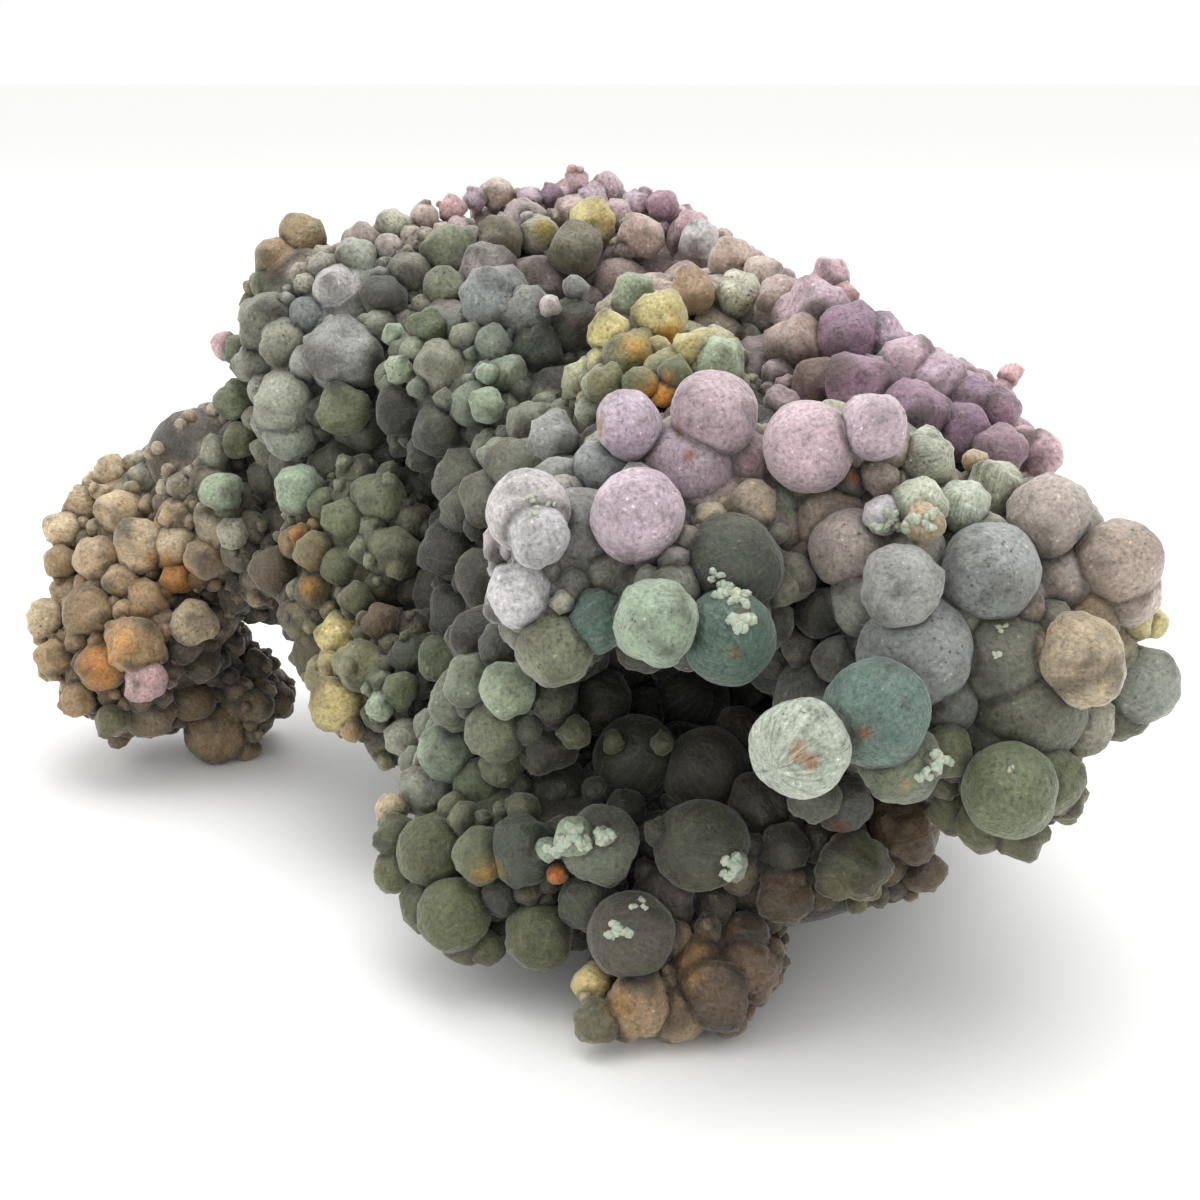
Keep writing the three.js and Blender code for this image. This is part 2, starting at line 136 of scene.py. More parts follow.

# %% [markdown]
# ## The grapes that show in front
# Every row is one grape: across, down, depth in mm, radius in mm and its colour. They were placed one by one,
# cluster by cluster, because the eye knows this stone by its large front grapes. Each colour was read as the
# grape looks, so some painted light and shade is in it, and d marks a grape in shade.

# %% Front grapes, cluster by cluster
GRAPES = {
    "front right": """
800 748 98 3.05 f
815 740 101.5 2.5 s
876 714 100 3.3 t
898 761 101 2.5 g
946 752 104 1.7 g
915 652 104 3.55 e
945 700 105 2.1 h
1001 658 105 3.1 h
1026 706 106 3.75 h
1010 790 102.6 2.9 g
1044 778 105 2.4 g
1080 655 102 2.55 c
1088 672 102 2.2 c
901 586 100.5 2.4 e
990 571 104 3.05 e
1049 515 106 2.55 n
1118 562 106 2.75 n
1124 592 107 2.3 n
1062 578 107 2.1 n
1150 622 110 1.1 y
1130 622 109 1.4 y
1139 685 109 2.5 k
1120 706 110 2.2 v
922 503 102 1.6 f
963 507 106 1.7 f
994 488 109 1.8 f
925 457 107.5 1.9 f
850 548 106 2.6 n
832 524 108 2.5 n
868 602 106 2.4 k
843 804 108.5 1.85 d
815 796 108.5 1.7 s
986 822 106 2 v
1019 834 105 1.7 v
1062 800 106 1.5 v
958 812 107.5 1.6 v
893 700 103.5 2.4 t
1077 722 107 2.3 k
1003 745 106 2.6 h
1090 610 107 2 a
958 622 105.5 2.2 k
932 763 99.5 0.8 k
882 515 101 1.2 w
924 524 101.5 1.2 c
974 461 110 0.9 c
784 502 108 0.95 m
806 488 108.5 1.6 n
""",
    "front top": """
528 511 104 2.6 w
538 535 102.5 2.05 w
583 528 106.5 2.6 e
637 515 103.2 2.85 l
521 595 105 2.15 w
556 648 105 2.4 g
598 622 104.5 1.95 t
657 622 100 2.55 m
729 638 101.5 2.85 t
733 566 104 3.15 s
629 424 107 2.15 l
714 415 107 2.75 l
690 466 108 2.95 l
738 464 109 2.25 r
808 447 105.4 2.8 l
875 426 104 2.1 l
604 470 109 2 e
610 575 106.5 2 k
726 506 106 0.65 c
880 478 106.5 1.25 n
562 602 104 0.75 k
""",
    # The hollow cluster sits in the dark cavity under the front, so all its grapes are d, painted shade.
    "hollow": """
636 758 117.5 2.95 d
707 772 116.5 3.05 d
600 700 119 2.4 d
760 806 114 2.3 d
690 700 123.5 2.8 d
560 790 118 2.2 d
740 740 119 2.2 d
574 733 114 1.15 v
613 743 113.5 0.8 v
662 744 113.5 0.8 v
""",
    "front low": """
600 845 111.2 2.5 h
523 850 113 2.35 s
483 855 114 2 g
434 852 117 2.65 v
398 838 119 1.75 v
395 872 118.5 1.5 v
455 915 115 2.6 v
428 908 116.5 1.8 v
465 942 115.5 1.4 v
539 936 113.5 2.35 v
631 934 110.5 2.95 s
588 902 112.5 2 s
701 845 111 3.05 s
665 895 113 2.3 d
508 690 113.5 1.95 m
449 752 120 2.3 m
480 785 119 2 g
503 765 117 1.5 g
425 792 121 1.9 k
392 812 120 1.3 c
487 948 115 1.2 v
661 832 110.5 1.1 s
733 865 109.3 1.05 k
405 738 126 1.5 k
574 838 109 1.3 m
548 850 110 0.8 m
604 836 108.3 0.7 k
556 874 110.5 0.75 o
""",
    "foot": """
596 1022 109.5 1.45 v
592 982 110.5 1.3 y
640 1004 110.5 2.3 a
680 1014 111 2 a
713 990 111 2.45 b
750 968 111.5 2.15 b
744 940 112.5 1.85 b
696 962 111.5 1.75 b
786 892 111.5 1.95 b
784 850 111.5 1.75 d
853 868 110.5 2.3 v
904 828 113.5 2.45 b
921 870 114.5 1.6 b
822 842 112.5 1.6 d
856 902 112 0.8 v
820 885 114 1.7 b
760 905 115 2 b
880 860 114 1.7 b
""",
    "right slope": """
829 277 126 1.6 r
815 313 124 2.6 l
850 338 121 2.5 p
882 338 121 1.8 l
905 365 119 1.95 l
940 381 118 1.95 l
975 402 117 1.8 p
998 413 116.5 1.7 p
1020 448 115 1.6 r
1041 455 115 1.55 r
858 388 117 2.35 p
915 412 115 2.3 p
960 432 115.5 2.1 p
797 345 122 2.2 n
780 300 127 1.95 n
762 274 131 1.5 n
730 258 134 1.7 n
738 293 129 1.7 f
700 240 138 1.6 w
844 296 125 1.05 r
1011 374 119 0.9 r
1003 387 119 0.75 r
1000 452 113 1.8 p
820 385 119 2 b
""",
    "knot": """
662 318 124 2 y
634 293 126 1.65 m
629 358 121 1.85 v
718 362 119.2 1.9 m
606 384 118 1.4 v
692 292 128 1.8 a
690 348 119 1.3 y
664 395 108.3 0.95 o
610 332 123 1.45 y
640 385 117 1.3 v
675 375 117 1.2 g
""",
    "crest": """
393 226 146 1.5 f
690 228 143 1.4 r
593 222 144 1.9 y
640 235 142 1.9 n
577 250 141 2.2 v
540 235 144 1.8 k
500 240 143 2 v
450 250 142.5 2.2 g
577 181 148 1.1 r
608 188 149 1.4 l
592 200 148 1.4 l
552 196 149 1.15 p
529 200 149 1.2 l
496 193 149 1.4 n
476 200 149 1.1 l
452 210 148 1.3 r
424 217 147 1.3 n
365 240 145 1.4 n
662 206 146 1.4 p
638 205 147 1.3 l
""",
    "left top": """
303 237 146 2 a
277 260 145 1.9 a
335 290 141 2 w
307 317 141 1.75 e
343 357 138 3 e
284 405 139 2.45 k
291 435 140 2.15 k
343 408 137 2.1 g
256 362 144 1.9 k
430 328 134 1.65 g
442 367 132 2.1 k
554 436 119 1.75 e
494 300 133 2.6 e
527 312 132 2.1 e
385 298 140 2 d
357 262 143 2 k
410 275 142 2 h
445 290 140 1.8 g
400 412 134 2 d
575 325 132.6 2.2 s
535 350 132 2.2 s
235 400 146 1.7 g
240 440 146 1.6 v
268 285 145 1.6 v
240 350 146 1.5 g
252 303 147 1 v
226 347 146.5 1.25 r
394 334 136 1.05 m
400 370 133 1.2 m
486 406 127 1.35 m
488 374 129 0.9 m
549 306 130 0.9 w
577 288 131 1 e
""",
    "left column": """
299 488 138 1.95 m
345 519 136 1.85 g
222 492 144 1.75 m
340 565 135.5 1.6 v
339 637 135 1.8 y
382 622 132 1.5 b
440 660 127 1.7 g
339 703 132 2.1 y
275 570 140 2 b
315 590 136.5 1.6 b
325 505 137.5 1.5 g
232 535 143 1.3 k
301 535 137 1 o
358 598 134 1.4 v
410 655 130 1.5 s
380 706 129 1.15 m
352 730 131 0.9 a
400 690 129 1.4 g
""",
    "left lobe": """
110 472 153 1.6 c
182 448 150.5 1.9 n
82 503 152 1.5 c
64 530 151 1.65 c
45 618 149 1.7 c
56 657 148 1.7 a
78 700 147 1.45 a
112 720 147 1.55 v
120 512 150 2.1 c
143 545 148 2.4 c
176 545 147 1.8 c
98 560 149 2.1 c
90 612 147 2.3 a
194 622 146 2 c
135 645 145 2.5 a
146 680 145 1.9 r
102 667 146 2.1 o
148 602 147 1.9 a
219 731 155 2.75 a
190 700 152.5 2.1 b
148 476 152 1.6 k
205 430 150 1.5 n
60 562 150 1.5 a
178 577 147 1.45 o
202 665 149.5 1.6 d
""",
}


def front_grapes():
    """Place, radius, colour letter and cluster of every grape that was placed by sight."""
    table = [(name, row.split()) for name, cluster in GRAPES.items() for row in cluster.split("\n") if row]
    rows = [row for _, row in table]
    places = np.array([place_by_sight(*(float(word) for word in row[:3])) for row in rows])
    radii = np.array([float(row[3]) for row in rows])
    return places, radii, [row[4] for row in rows], [name for name, _ in table]


front_places, front_radii, front_tints, front_clusters = front_grapes()
print("grapes placed by sight:", len(front_radii))

# %% [markdown]
# ## The body under the grapes
# A stone like this has no flat core: the grapes sit on the humps of a rough branching body. Each hump is
# one ellipsoid with a middle, three half sizes, the radius of the grapes that grow on it, and the colours
# they come in. The hidden back is filled by the same rule, with larger and plainer grapes. The last word
# names the part of the skin that a hump belongs to, because one skin for the whole stone would be too fine
# a mesh to keep in one piece.

# %% The humps, from the front to the back
# A d among a hump's colours is painted shade, for humps that lie deep in the stone.
HUMPS = [
    ("right front", (29.5, -15.5, 25.5), (11, 7.5, 9.3), 2.8, "eksgken", "right"),
    ("under front", (31, -20, 20.5), (6, 5, 4), 2.2, "vgav", "right"),
    ("upper front", (13, -14, 31.5), (10.5, 6, 6.5), 2.4, "gtskgw", "upper"),
    ("upper left front", (5, -17.2, 30), (4.5, 4, 5), 2.0, "wgtl", "upper"),
    ("upper low", (12.5, -20, 30), (6, 4, 3.6), 2.0, "gtks", "upper"),
    ("upper right front", (24, -13.5, 36), (5, 4, 4), 2.0, "kalm", "upper"),
    ("lower front", (4, -13, 8.8), (9, 6.5, 5.3), 2.2, "svgsv", "low"),
    ("lower step", (1.5, -7, 12), (8, 6, 6), 2.0, "svd", "low"),
    ("base front", (19, -15, 9.4), (9, 6, 5.2), 2.1, "vsab", "low"),
    ("foot", (13, -19.6, 3.7), (5.6, 4, 4.3), 1.8, "abrab", "low"),
    ("right slope", (26, 2, 34), (11, 11, 7.5), 2.5, "plrpkp", "slope"),
    ("crest edge", (-8, 28, 43.4), (8.5, 5, 3.6), 1.6, "rnvn", "crest"),
    ("saddle", (15.5, 15, 37.5), (9, 8, 6.5), 2.4, "nrfnr", "slope"),
    ("heart", (10, 6, 24), (15, 12, 14), 2.8, "dvdsd", "slope"),
    ("knot", (12.5, 2, 37.5), (7, 6.5, 4.2), 1.8, "ymgvy", "slope"),
    ("left shoulder", (-1, 13, 35), (9, 6, 6.5), 2.1, "sdgv", "slope"),
    ("crest", (6, 30.5, 37.6), (17, 9.5, 11), 2.7, "rnvlrn", "crest"),
    ("left top", (-14, 24, 33), (9, 8, 12.5), 2.6, "egkvg", "crest"),
    ("left column", (-11, 14, 20), (8, 7, 9), 2.3, "gvmdv", "left"),
    ("column foot", (-8, 6, 14), (7, 6, 5), 1.9, "gvdd", "left"),
    ("left lobe top", (-34.5, 29, 19.6), (7.2, 6.3, 6.9), 2.2, "cacak", "left"),
    ("left lobe", (-34, 23.6, 11.5), (7.5, 7.5, 7.5), 2.2, "caoabc", "left"),
    ("left lobe foot", (-26.5, 25, 4.5), (3.6, 4, 4.6), 2.1, "abv", "left"),
    ("lobe shoulder", (-28.5, 27, 27), (5.5, 5, 5), 1.9, "bnkb", "left"),
    ("bridge", (-24, 24, 20), (9, 6, 5), 2.2, "cavb", "left"),
    ("root", (9, -2, 12), (10, 8, 7), 2.4, "dsd", "low"),
    ("right neck", (28, -7, 24), (9, 7, 9), 2.6, "vks", "right"),
    ("upper neck", (14, -5, 31), (10, 7, 6.5), 2.4, "ndv", "upper"),
    ("stem", (1.5, -9, 19), (5, 6, 6), 1.9, "dvd", "low"),
    ("left saddle", (-5, 24, 40), (7, 6, 5), 2.2, "kgl", "crest"),
    ("left horn", (-19, 26, 42.3), (4, 4, 4), 1.8, "agk", "crest"),
    ("back", (10, 24, 18), (19, 13, 14), 3.7, "kkgavs", "back"),
    ("back foot", (12, 25, 6), (11, 8, 6.5), 3.0, "avbk", "back"),
    ("right back", (27, 6, 20), (11, 13, 13), 3.6, "kplvg", "back"),
    ("right foot", (23, 4, 6.5), (8, 8, 7), 2.8, "vbas", "back"),
]
SKINS = ("right", "upper", "low", "slope", "crest", "left", "back")
HUMP_SHRINK = 0.93
hump_middles = np.array([hump[1] for hump in HUMPS], dtype=float)
hump_halves = np.array([hump[2] for hump in HUMPS], dtype=float)
hump_skins = np.array([SKINS.index(hump[5]) for hump in HUMPS])
print("humps of the body:", len(HUMPS), "in skins:", SKINS)

# %% [markdown]
# ## The outline of the stone
# New grapes may not stick out past the outline that the eye sees, so it is kept as a ring of points,
# across and down. Two small functions say whether a point is inside and how far the edge is.

# %% The outline and its two questions
OUTLINE = np.array(
    [
        (27, 612), (52, 580), (44, 552), (62, 512), (88, 478), (140, 455), (190, 412), (215, 402),
        (205, 342), (236, 330), (243, 300), (268, 250), (302, 215), (335, 235), (400, 207), (484, 178),
        (530, 185), (572, 168), (612, 172), (640, 190), (672, 192), (700, 220), (800, 272), (815, 258),
        (842, 258), (856, 290), (895, 325), (925, 350), (992, 378), (1012, 361), (1025, 380),
        (1015, 400), (1062, 440), (1060, 476), (1122, 514), (1150, 530), (1158, 565), (1152, 600),
        (1167, 625), (1165, 680), (1150, 735), (1085, 748), (1078, 800), (1030, 855), (950, 845),
        (925, 890), (862, 905), (820, 898), (785, 930), (785, 975), (755, 1010), (700, 1047),
        (595, 1047), (573, 1020), (582, 968), (545, 974), (520, 950), (480, 965), (432, 945),
        (405, 872), (372, 858), (380, 800), (398, 775), (352, 742), (320, 715), (270, 716),
        (255, 755), (220, 772), (185, 755), (165, 733), (118, 738), (65, 712), (32, 650),
    ],
    dtype=float,
)
outline_next = np.roll(OUTLINE, -1, axis=0)


def inside_outline(points):
    inside = np.zeros(len(points), dtype=bool)
    for (x1, y1), (x2, y2) in zip(OUTLINE, outline_next):
        crosses = (y1 > points[:, 1]) != (y2 > points[:, 1])
        with np.errstate(divide="ignore", invalid="ignore"):
            edge = (x2 - x1) * (points[:, 1] - y1) / (y2 - y1) + x1
        inside ^= crosses & (points[:, 0] < edge)
    return inside


def outline_distance(points):
    along = outline_next - OUTLINE
    share = ((points[:, None] - OUTLINE) * along).sum(2) / (along**2).sum(1)
    nearest = OUTLINE + np.clip(share, 0, 1)[:, :, None] * along
    return np.linalg.norm(points[:, None] - nearest, axis=2).min(1)


# %% [markdown]
# ## The filling grapes
# The rest of the crust is too much to place by hand. Grapes are thrown at every hump by three steady steps
# round the circle, which spread evenly and are the same on each run, with no dice. A grape stays if it is
# not buried, not crowded by another, inside the outline, and not in front of a grape placed by sight.
# The first round is the widely spaced large ones, and the later rounds fill the gaps with smaller ones.

# %% Throw the filling grapes
THROW_STEPS = (0.8191725134, 0.6710436067, 0.5497004779)
ROUNDS = [
    {"throws": 260, "size": 1.0, "spread": 0.16, "crowding": 1.4, "room": 0.85},
    {"throws": 420, "size": 0.9, "spread": 0.2, "crowding": 0.76, "room": 0.8},
    {"throws": 700, "size": 0.66, "spread": 0.16, "crowding": 0.7, "room": 0.7},
    {"throws": 1300, "size": 0.46, "spread": 0.14, "crowding": 0.7, "room": 0.5},
    {"throws": 1600, "size": 0.32, "spread": 0.1, "crowding": 0.72, "room": 0.2},
]
SUGARY_HUMPS = (
    "left lobe top", "left lobe", "left lobe foot", "bridge", "column foot", "left column", "left horn",
    "crest edge", "left saddle", "foot", "base front", "under front", "crest",
)
CRUMBS_EACH = 2
CRUMB_SHARE = 0.36
CRUMB_OUT = 0.95
CRUMB_LEAST = 0.6
CRUMB_RANGE = 0.8
CRUMB_HOST = 0.9
OUTWARD_PULL = 0.9
BURIED_DEPTH = 0.9
GROUND_ROOM = 0.75
MOST_GRAPES = 6000
HIDING_REACH = 0.35
HIDING_DEPTH = 0.2


def hump_levels(places):
    """How far out each place is in each hump: 0 at its middle, 1 on its surface."""
    return np.linalg.norm((places[:, None] - hump_middles) / hump_halves, axis=2)


def thrown_grapes(hump, numbers, size, spread):
    height, turn, share = ((numbers[:, None] * np.array(THROW_STEPS)) % 1).T
    up = 1 - 2 * height
    out = np.sqrt(1 - up * up)
    ring = np.column_stack([out * np.cos(2 * math.pi * turn), out * np.sin(2 * math.pi * turn), up])
    places = ring * hump_halves[hump] + hump_middles[hump]
    return places, HUMPS[hump][3] * size * (1 + spread * (2 * share - 1))


def roomy(hump, places, radii, seen, room):
    """Those that are not deep in another hump or the ground and stay inside the outline."""
    levels = hump_levels(places)
    levels[:, hump] = 2
    buried = (levels < 1 - BURIED_DEPTH * radii[:, None] / hump_halves.min(1)).any(1)
    inside = inside_outline(seen) & (outline_distance(seen[:, :2]) >= room * radii * seen[:, 3])
    return ~buried & (places[:, 2] >= GROUND_ROOM * radii) & inside


def hide_front(radii, seen, front_seen):
    aside = np.hypot(front_seen[:, 0] - seen[:, :1], front_seen[:, 1] - seen[:, 1:2])
    reach = front_radii * front_seen[:, 3] + HIDING_REACH * (radii * seen[:, 3])[:, None]
    return ((front_seen[:, 2] - HIDING_DEPTH * front_radii > seen[:, 2:3]) & (aside < reach)).any(1)


def fill_crust():
    """Places, radii and humps of all grapes. Those placed by sight come first."""
    front_seen = seen_at(front_places)
    count = len(front_radii)
    places = np.zeros((MOST_GRAPES, 3))
    radii = np.zeros(MOST_GRAPES)
    humps = np.zeros(MOST_GRAPES, dtype=int)
    places[:count] = front_places
    radii[:count] = front_radii
    humps[:count] = hump_levels(front_places).argmin(1)
    thrown = 0
    for each in ROUNDS:
        for hump in range(len(HUMPS)):
            numbers = thrown + 1 + np.arange(each["throws"])
            thrown += each["throws"]
            new_places, new_radii = thrown_grapes(hump, numbers, each["size"], each["spread"])
            new_seen = seen_at(new_places)
            fit = roomy(hump, new_places, new_radii, new_seen, each["room"])
            fit &= ~hide_front(new_radii, new_seen, front_seen)
            new_places, new_radii = new_places[fit], new_radii[fit]
            gaps = np.linalg.norm(new_places[:, None] - places[:count], axis=2)
            free = (gaps >= each["crowding"] * (new_radii[:, None] + radii[:count])).all(1)
            first = count
            for place, radius in zip(new_places[free], new_radii[free]):
                gaps = np.linalg.norm(places[first:count] - place, axis=1)
                if (gaps >= each["crowding"] * (radii[first:count] + radius)).all():
                    places[count] = place
                    radii[count] = radius
                    humps[count] = hump
                    count += 1
        print("grapes after a round:", count)
    return places[:count], radii[:count], humps[:count]


def sugary_crumbs(places, radii, humps):
    """Crumbs that stand on the outer side of grapes in the rough, sugary parts of the crust."""
    sugary = [number for number, hump in enumerate(HUMPS) if hump[0] in SUGARY_HUMPS]
    hosts = np.repeat(np.flatnonzero(np.isin(humps, sugary) & (radii > CRUMB_HOST)), CRUMBS_EACH)
    height, turn, share = (((np.arange(len(hosts)) + 1)[:, None] * np.array(THROW_STEPS)) % 1).T
    up = 1 - 2 * height
    out = np.sqrt(1 - up * up)
    way = np.column_stack([out * np.cos(2 * math.pi * turn), out * np.sin(2 * math.pi * turn), up])
    root = (places[hosts] - hump_middles[humps[hosts]]) / hump_halves[humps[hosts]]
    way += OUTWARD_PULL * root / np.linalg.norm(root, axis=1)[:, None]
    way /= np.linalg.norm(way, axis=1)[:, None]
    crumb_radii = CRUMB_SHARE * radii[hosts] * (CRUMB_LEAST + CRUMB_RANGE * share)
    crumb_places = places[hosts] + way * (radii[hosts] * CRUMB_OUT)[:, None]
    seen = seen_at(crumb_places)
    fit = inside_outline(seen) & (crumb_places[:, 2] > crumb_radii)
    fit &= ~hide_front(crumb_radii, seen, seen_at(front_places))
    return crumb_places[fit], crumb_radii[fit], humps[hosts][fit]


grapes = fill_crust()
crumbs = sugary_crumbs(*grapes)
grape_places, grape_radii, grape_humps = (np.concatenate(pair) for pair in zip(grapes, crumbs))
print("sugary crumbs:", len(crumbs[1]))

# %% [markdown]
# ## No grape hangs free
# A place that was read from one side only can be a little too near the eye, so that its grape touches
# nothing. Such a grape is moved straight away from the eye, where it still looks the same, until it
# presses into one that is held. A loose filling grape is moved towards the middle of its hump.

# %% Press loose grapes onto the stone
JOINED = 0.9
JOINED_TO_HUMP = 0.8
SETTLE_STEP = 0.2
SETTLE_STEPS = 70


def touches(place, radius, held):
    """Whether a grape presses into a hump or into a grape that is held."""
    level = np.linalg.norm((place - hump_middles) / (HUMP_SHRINK * hump_halves), axis=1)
    if (level < 1 + JOINED_TO_HUMP * radius / hump_halves.min(1)).any():
        return True
    gaps = np.linalg.norm(grape_places[held] - place, axis=1)
    return bool((gaps < JOINED * (grape_radii[held] + radius)).any())


def held_grapes():
    none_held = np.zeros(len(grape_radii), dtype=bool)
    held = np.array([touches(place, radius, none_held) for place, radius in zip(grape_places, grape_radii)])
    grown = True
    while grown:
        met = [
            number
            for number in np.flatnonzero(~held)
            if touches(grape_places[number], grape_radii[number], held)
        ]
        held[met] = True
        grown = len(met) > 0
    return held


def settle():
    held = held_grapes()
    loose = np.flatnonzero(~held)
    for number in loose:
        if number < len(front_radii):
            way = grape_places[number] - EYE
        else:
            way = hump_middles[grape_humps[number]] - grape_places[number]
        way *= SETTLE_STEP / np.linalg.norm(way)
        for _ in range(SETTLE_STEPS):
            if touches(grape_places[number], grape_radii[number], held):
                held[number] = True
                break
            grape_places[number] += way
    return len(loose), int((~held).sum())


print("loose grapes, and those that found no hold:", settle())

# %% [markdown]
# ## How open each grape lies
# Deep between the clusters the crust looks nearly black, because little light comes in; that shade is painted
# into the grapes' colour.
# From each grape some lines are drawn upwards and sideways, and the share that meets no other grape says
# how open it lies. It depends on the stone alone, so it holds from every side.

# %% Measure the openness
OPEN_LINES = 56
OPEN_REACH = 24.0
OPEN_FULL = 0.36
LOWEST_LINE = -0.45
LEVEL_WEIGHT = 0.6
UP_WEIGHT = 0.4
SMALLEST_HIDER = 0.6
OWN_ROOM = 0.6
GRAPE_BODY = 0.9
HUMP_BODY = 0.8


def open_share():
    height, turn = (((np.arange(OPEN_LINES) + 1)[:, None] * np.array(THROW_STEPS[:2])) % 1).T
    up = 1 - (1 - LOWEST_LINE) * height
    out = np.sqrt(1 - up * up)
    lines = np.column_stack([out * np.cos(2 * math.pi * turn), out * np.sin(2 * math.pi * turn), up])
    weights = LEVEL_WEIGHT + UP_WEIGHT * up
    balls = grape_radii > SMALLEST_HIDER
    ball_places, ball_radii = grape_places[balls], grape_radii[balls]
    shares = np.zeros(len(grape_radii))
    for number, (place, radius) in enumerate(zip(grape_places, grape_radii)):
        offsets = ball_places - place
        far = np.linalg.norm(offsets, axis=1)
        close = (far < OPEN_REACH) & (far > 0)
        along = offsets[close] @ lines.T
        aside = far[close][:, None] ** 2 - along**2
        reach = GRAPE_BODY * ball_radii[close][:, None]
        met = ((along > OWN_ROOM * radius) & (aside < reach**2)).any(0)
        start = (place - hump_middles) / hump_halves
        way = lines[:, None] / hump_halves
        speed = (way**2).sum(2)
        middle = (way * start).sum(2)
        spare = middle**2 - speed * ((start**2).sum(1) - HUMP_BODY)
        met |= ((spare > 0) & (np.sqrt(np.maximum(spare, 0)) > middle)).any(1)
        shares[number] = (weights * ~met).sum() / weights.sum()
    return shares


open_shares = np.clip(open_share() / OPEN_FULL, 0, 1)
print("openness, lowest tenth and middle:", np.percentile(open_shares, (10, 50)).round(2))

# %% [markdown]
# ## The colour of every grape
# Colour drifts over the stone in wide zones, so a filling grape takes most of its colour from the nearest
# grapes that were placed by sight, and the rest from its hump. Far from all of them, on the back, the hump
# decides alone. A small steady change from grape to grape keeps neighbours apart. Last, painted shade darkens
# the grapes that lie enclosed or in dark hollows.

# %% Mix the colours
SHADE_SPREAD = 0.14
WARMTH_SPREAD = 0.05
OWN_SHARE = 0.6
ZONE_SHARE = 0.78
ZONE_BLUR = 0.5
SIGHTED_SHARE = 0.8
SIGHTED_REACH = 9.0
PAINTED_SHADE_COLOUR = "#16150b"
ENCLOSED_SHADE_SHARE = 0.95
SIGHTED_SHADE_SHARE = 0.2
# Painted shade: dark hollows as the eye sees them, each across, down, reach and strength; filling grapes
# there that face the eye are darkened.
SHADED_HOLLOW_EDGE = 1.5
SHADED_HOLLOWS = [
    (430, 480, 34, 0.85),
    (445, 430, 24, 0.7),
    (455, 560, 34, 0.93),
    (470, 620, 34, 0.93),
    (505, 660, 22, 0.85),
    (590, 690, 38, 0.95),
    (660, 690, 40, 0.95),
    (720, 710, 34, 0.95),
    (560, 780, 24, 0.85),
    (640, 800, 34, 0.92),
    (740, 790, 34, 0.95),
    (655, 885, 24, 0.85),
    (765, 835, 26, 0.9),
    (560, 345, 28, 0.75),
    (590, 300, 16, 0.6),
    (385, 300, 20, 0.75),
    (455, 262, 16, 0.7),
    (548, 252, 18, 0.7),
    (255, 645, 26, 0.92),
    (225, 665, 22, 0.92),
    (240, 575, 22, 0.88),
    (215, 600, 14, 0.8),
    (315, 650, 16, 0.75),
    (812, 615, 22, 0.9),
    (832, 580, 16, 0.8),
    (775, 695, 22, 0.93),
    (592, 445, 12, 0.8),
    (520, 400, 16, 0.6),
    (870, 830, 22, 0.8),
    (560, 905, 12, 0.8),
    (498, 900, 12, 0.8),
    (410, 600, 16, 0.7),
    (300, 465, 12, 0.6),
    (240, 470, 12, 0.6),
]


def letter_colours(letters):
    return np.array([linear(TINTS[letter]) for letter in letters])


def grape_colours():
    numbers = np.arange(len(grape_radii))
    front_count = len(front_radii)
    hump_letters = [HUMPS[hump][4] for hump in grape_humps]
    own = letter_colours(letters[number % len(letters)] for number, letters in zip(numbers, hump_letters))
    hump_mean = np.array([letter_colours(hump[4]).mean(0) for hump in HUMPS])[grape_humps]
    own = OWN_SHARE * own + (1 - OWN_SHARE) * hump_mean
    gaps = np.linalg.norm(grape_places[:, None] - front_places, axis=2)
    weights = 1 / (gaps + ZONE_BLUR) ** 3
    zone = weights @ letter_colours(front_tints) / weights.sum(1)[:, None]
    share = ZONE_SHARE * np.clip(1 - gaps.min(1) / SIGHTED_REACH, 0, 1)[:, None] ** 0.5
    colours = own * (1 - share) + zone * share
    colours[:front_count] = SIGHTED_SHARE * letter_colours(front_tints)
    colours[:front_count] += (1 - SIGHTED_SHARE) * hump_mean[:front_count]
    shade = 1 + SHADE_SPREAD * (2 * ((numbers * THROW_STEPS[0]) % 1) - 1)
    warmth = WARMTH_SPREAD * (2 * ((numbers * THROW_STEPS[1]) % 1) - 1)
    colours *= shade[:, None] * np.column_stack([1 + warmth, np.ones_like(warmth), 1 - warmth])
    # Painted shade: enclosed grapes darken towards near black, and so do those in the hollows; grapes placed
    # by sight get a fifth of it.
    painted_shade = np.maximum(ENCLOSED_SHADE_SHARE * (1 - open_shares), painted_shade_in_hollows())
    painted_shade[:front_count] *= SIGHTED_SHADE_SHARE
    return colours * (1 - painted_shade[:, None]) + np.array(linear(PAINTED_SHADE_COLOUR)) * painted_shade[:, None]


def painted_shade_in_hollows():
    """How much of each filling grape's colour is painted shade, because the eye sees a dark hollow there."""
    seen = seen_at(grape_places)
    faces_eye = ((hump_middles[grape_humps] - grape_places) @ SIGHT) > 0
    painted_shade = np.zeros(len(grape_radii))
    for across, down, reach, share in SHADED_HOLLOWS:
        aside = np.hypot(seen[:, 0] - across, seen[:, 1] - down)
        painted_shade = np.maximum(painted_shade, share * np.clip(SHADED_HOLLOW_EDGE - aside / reach, 0, 1))
    painted_shade[: len(front_radii)] = 0
    return painted_shade * faces_eye


colours_of_grapes = grape_colours()
print("mean colour, linear:", colours_of_grapes.mean(0).round(3))

# %% [markdown]
# ## The shape of one grape
# No grape is a true ball. Growth left it a little lumpy, so a few balls are shaped by smooth noise and used
# again and again, each time turned and sized another way. The large ones in front are the finest, those
# of the foot and the left lobe are sugary, crumbs have few faces, and the humps between them are rough.

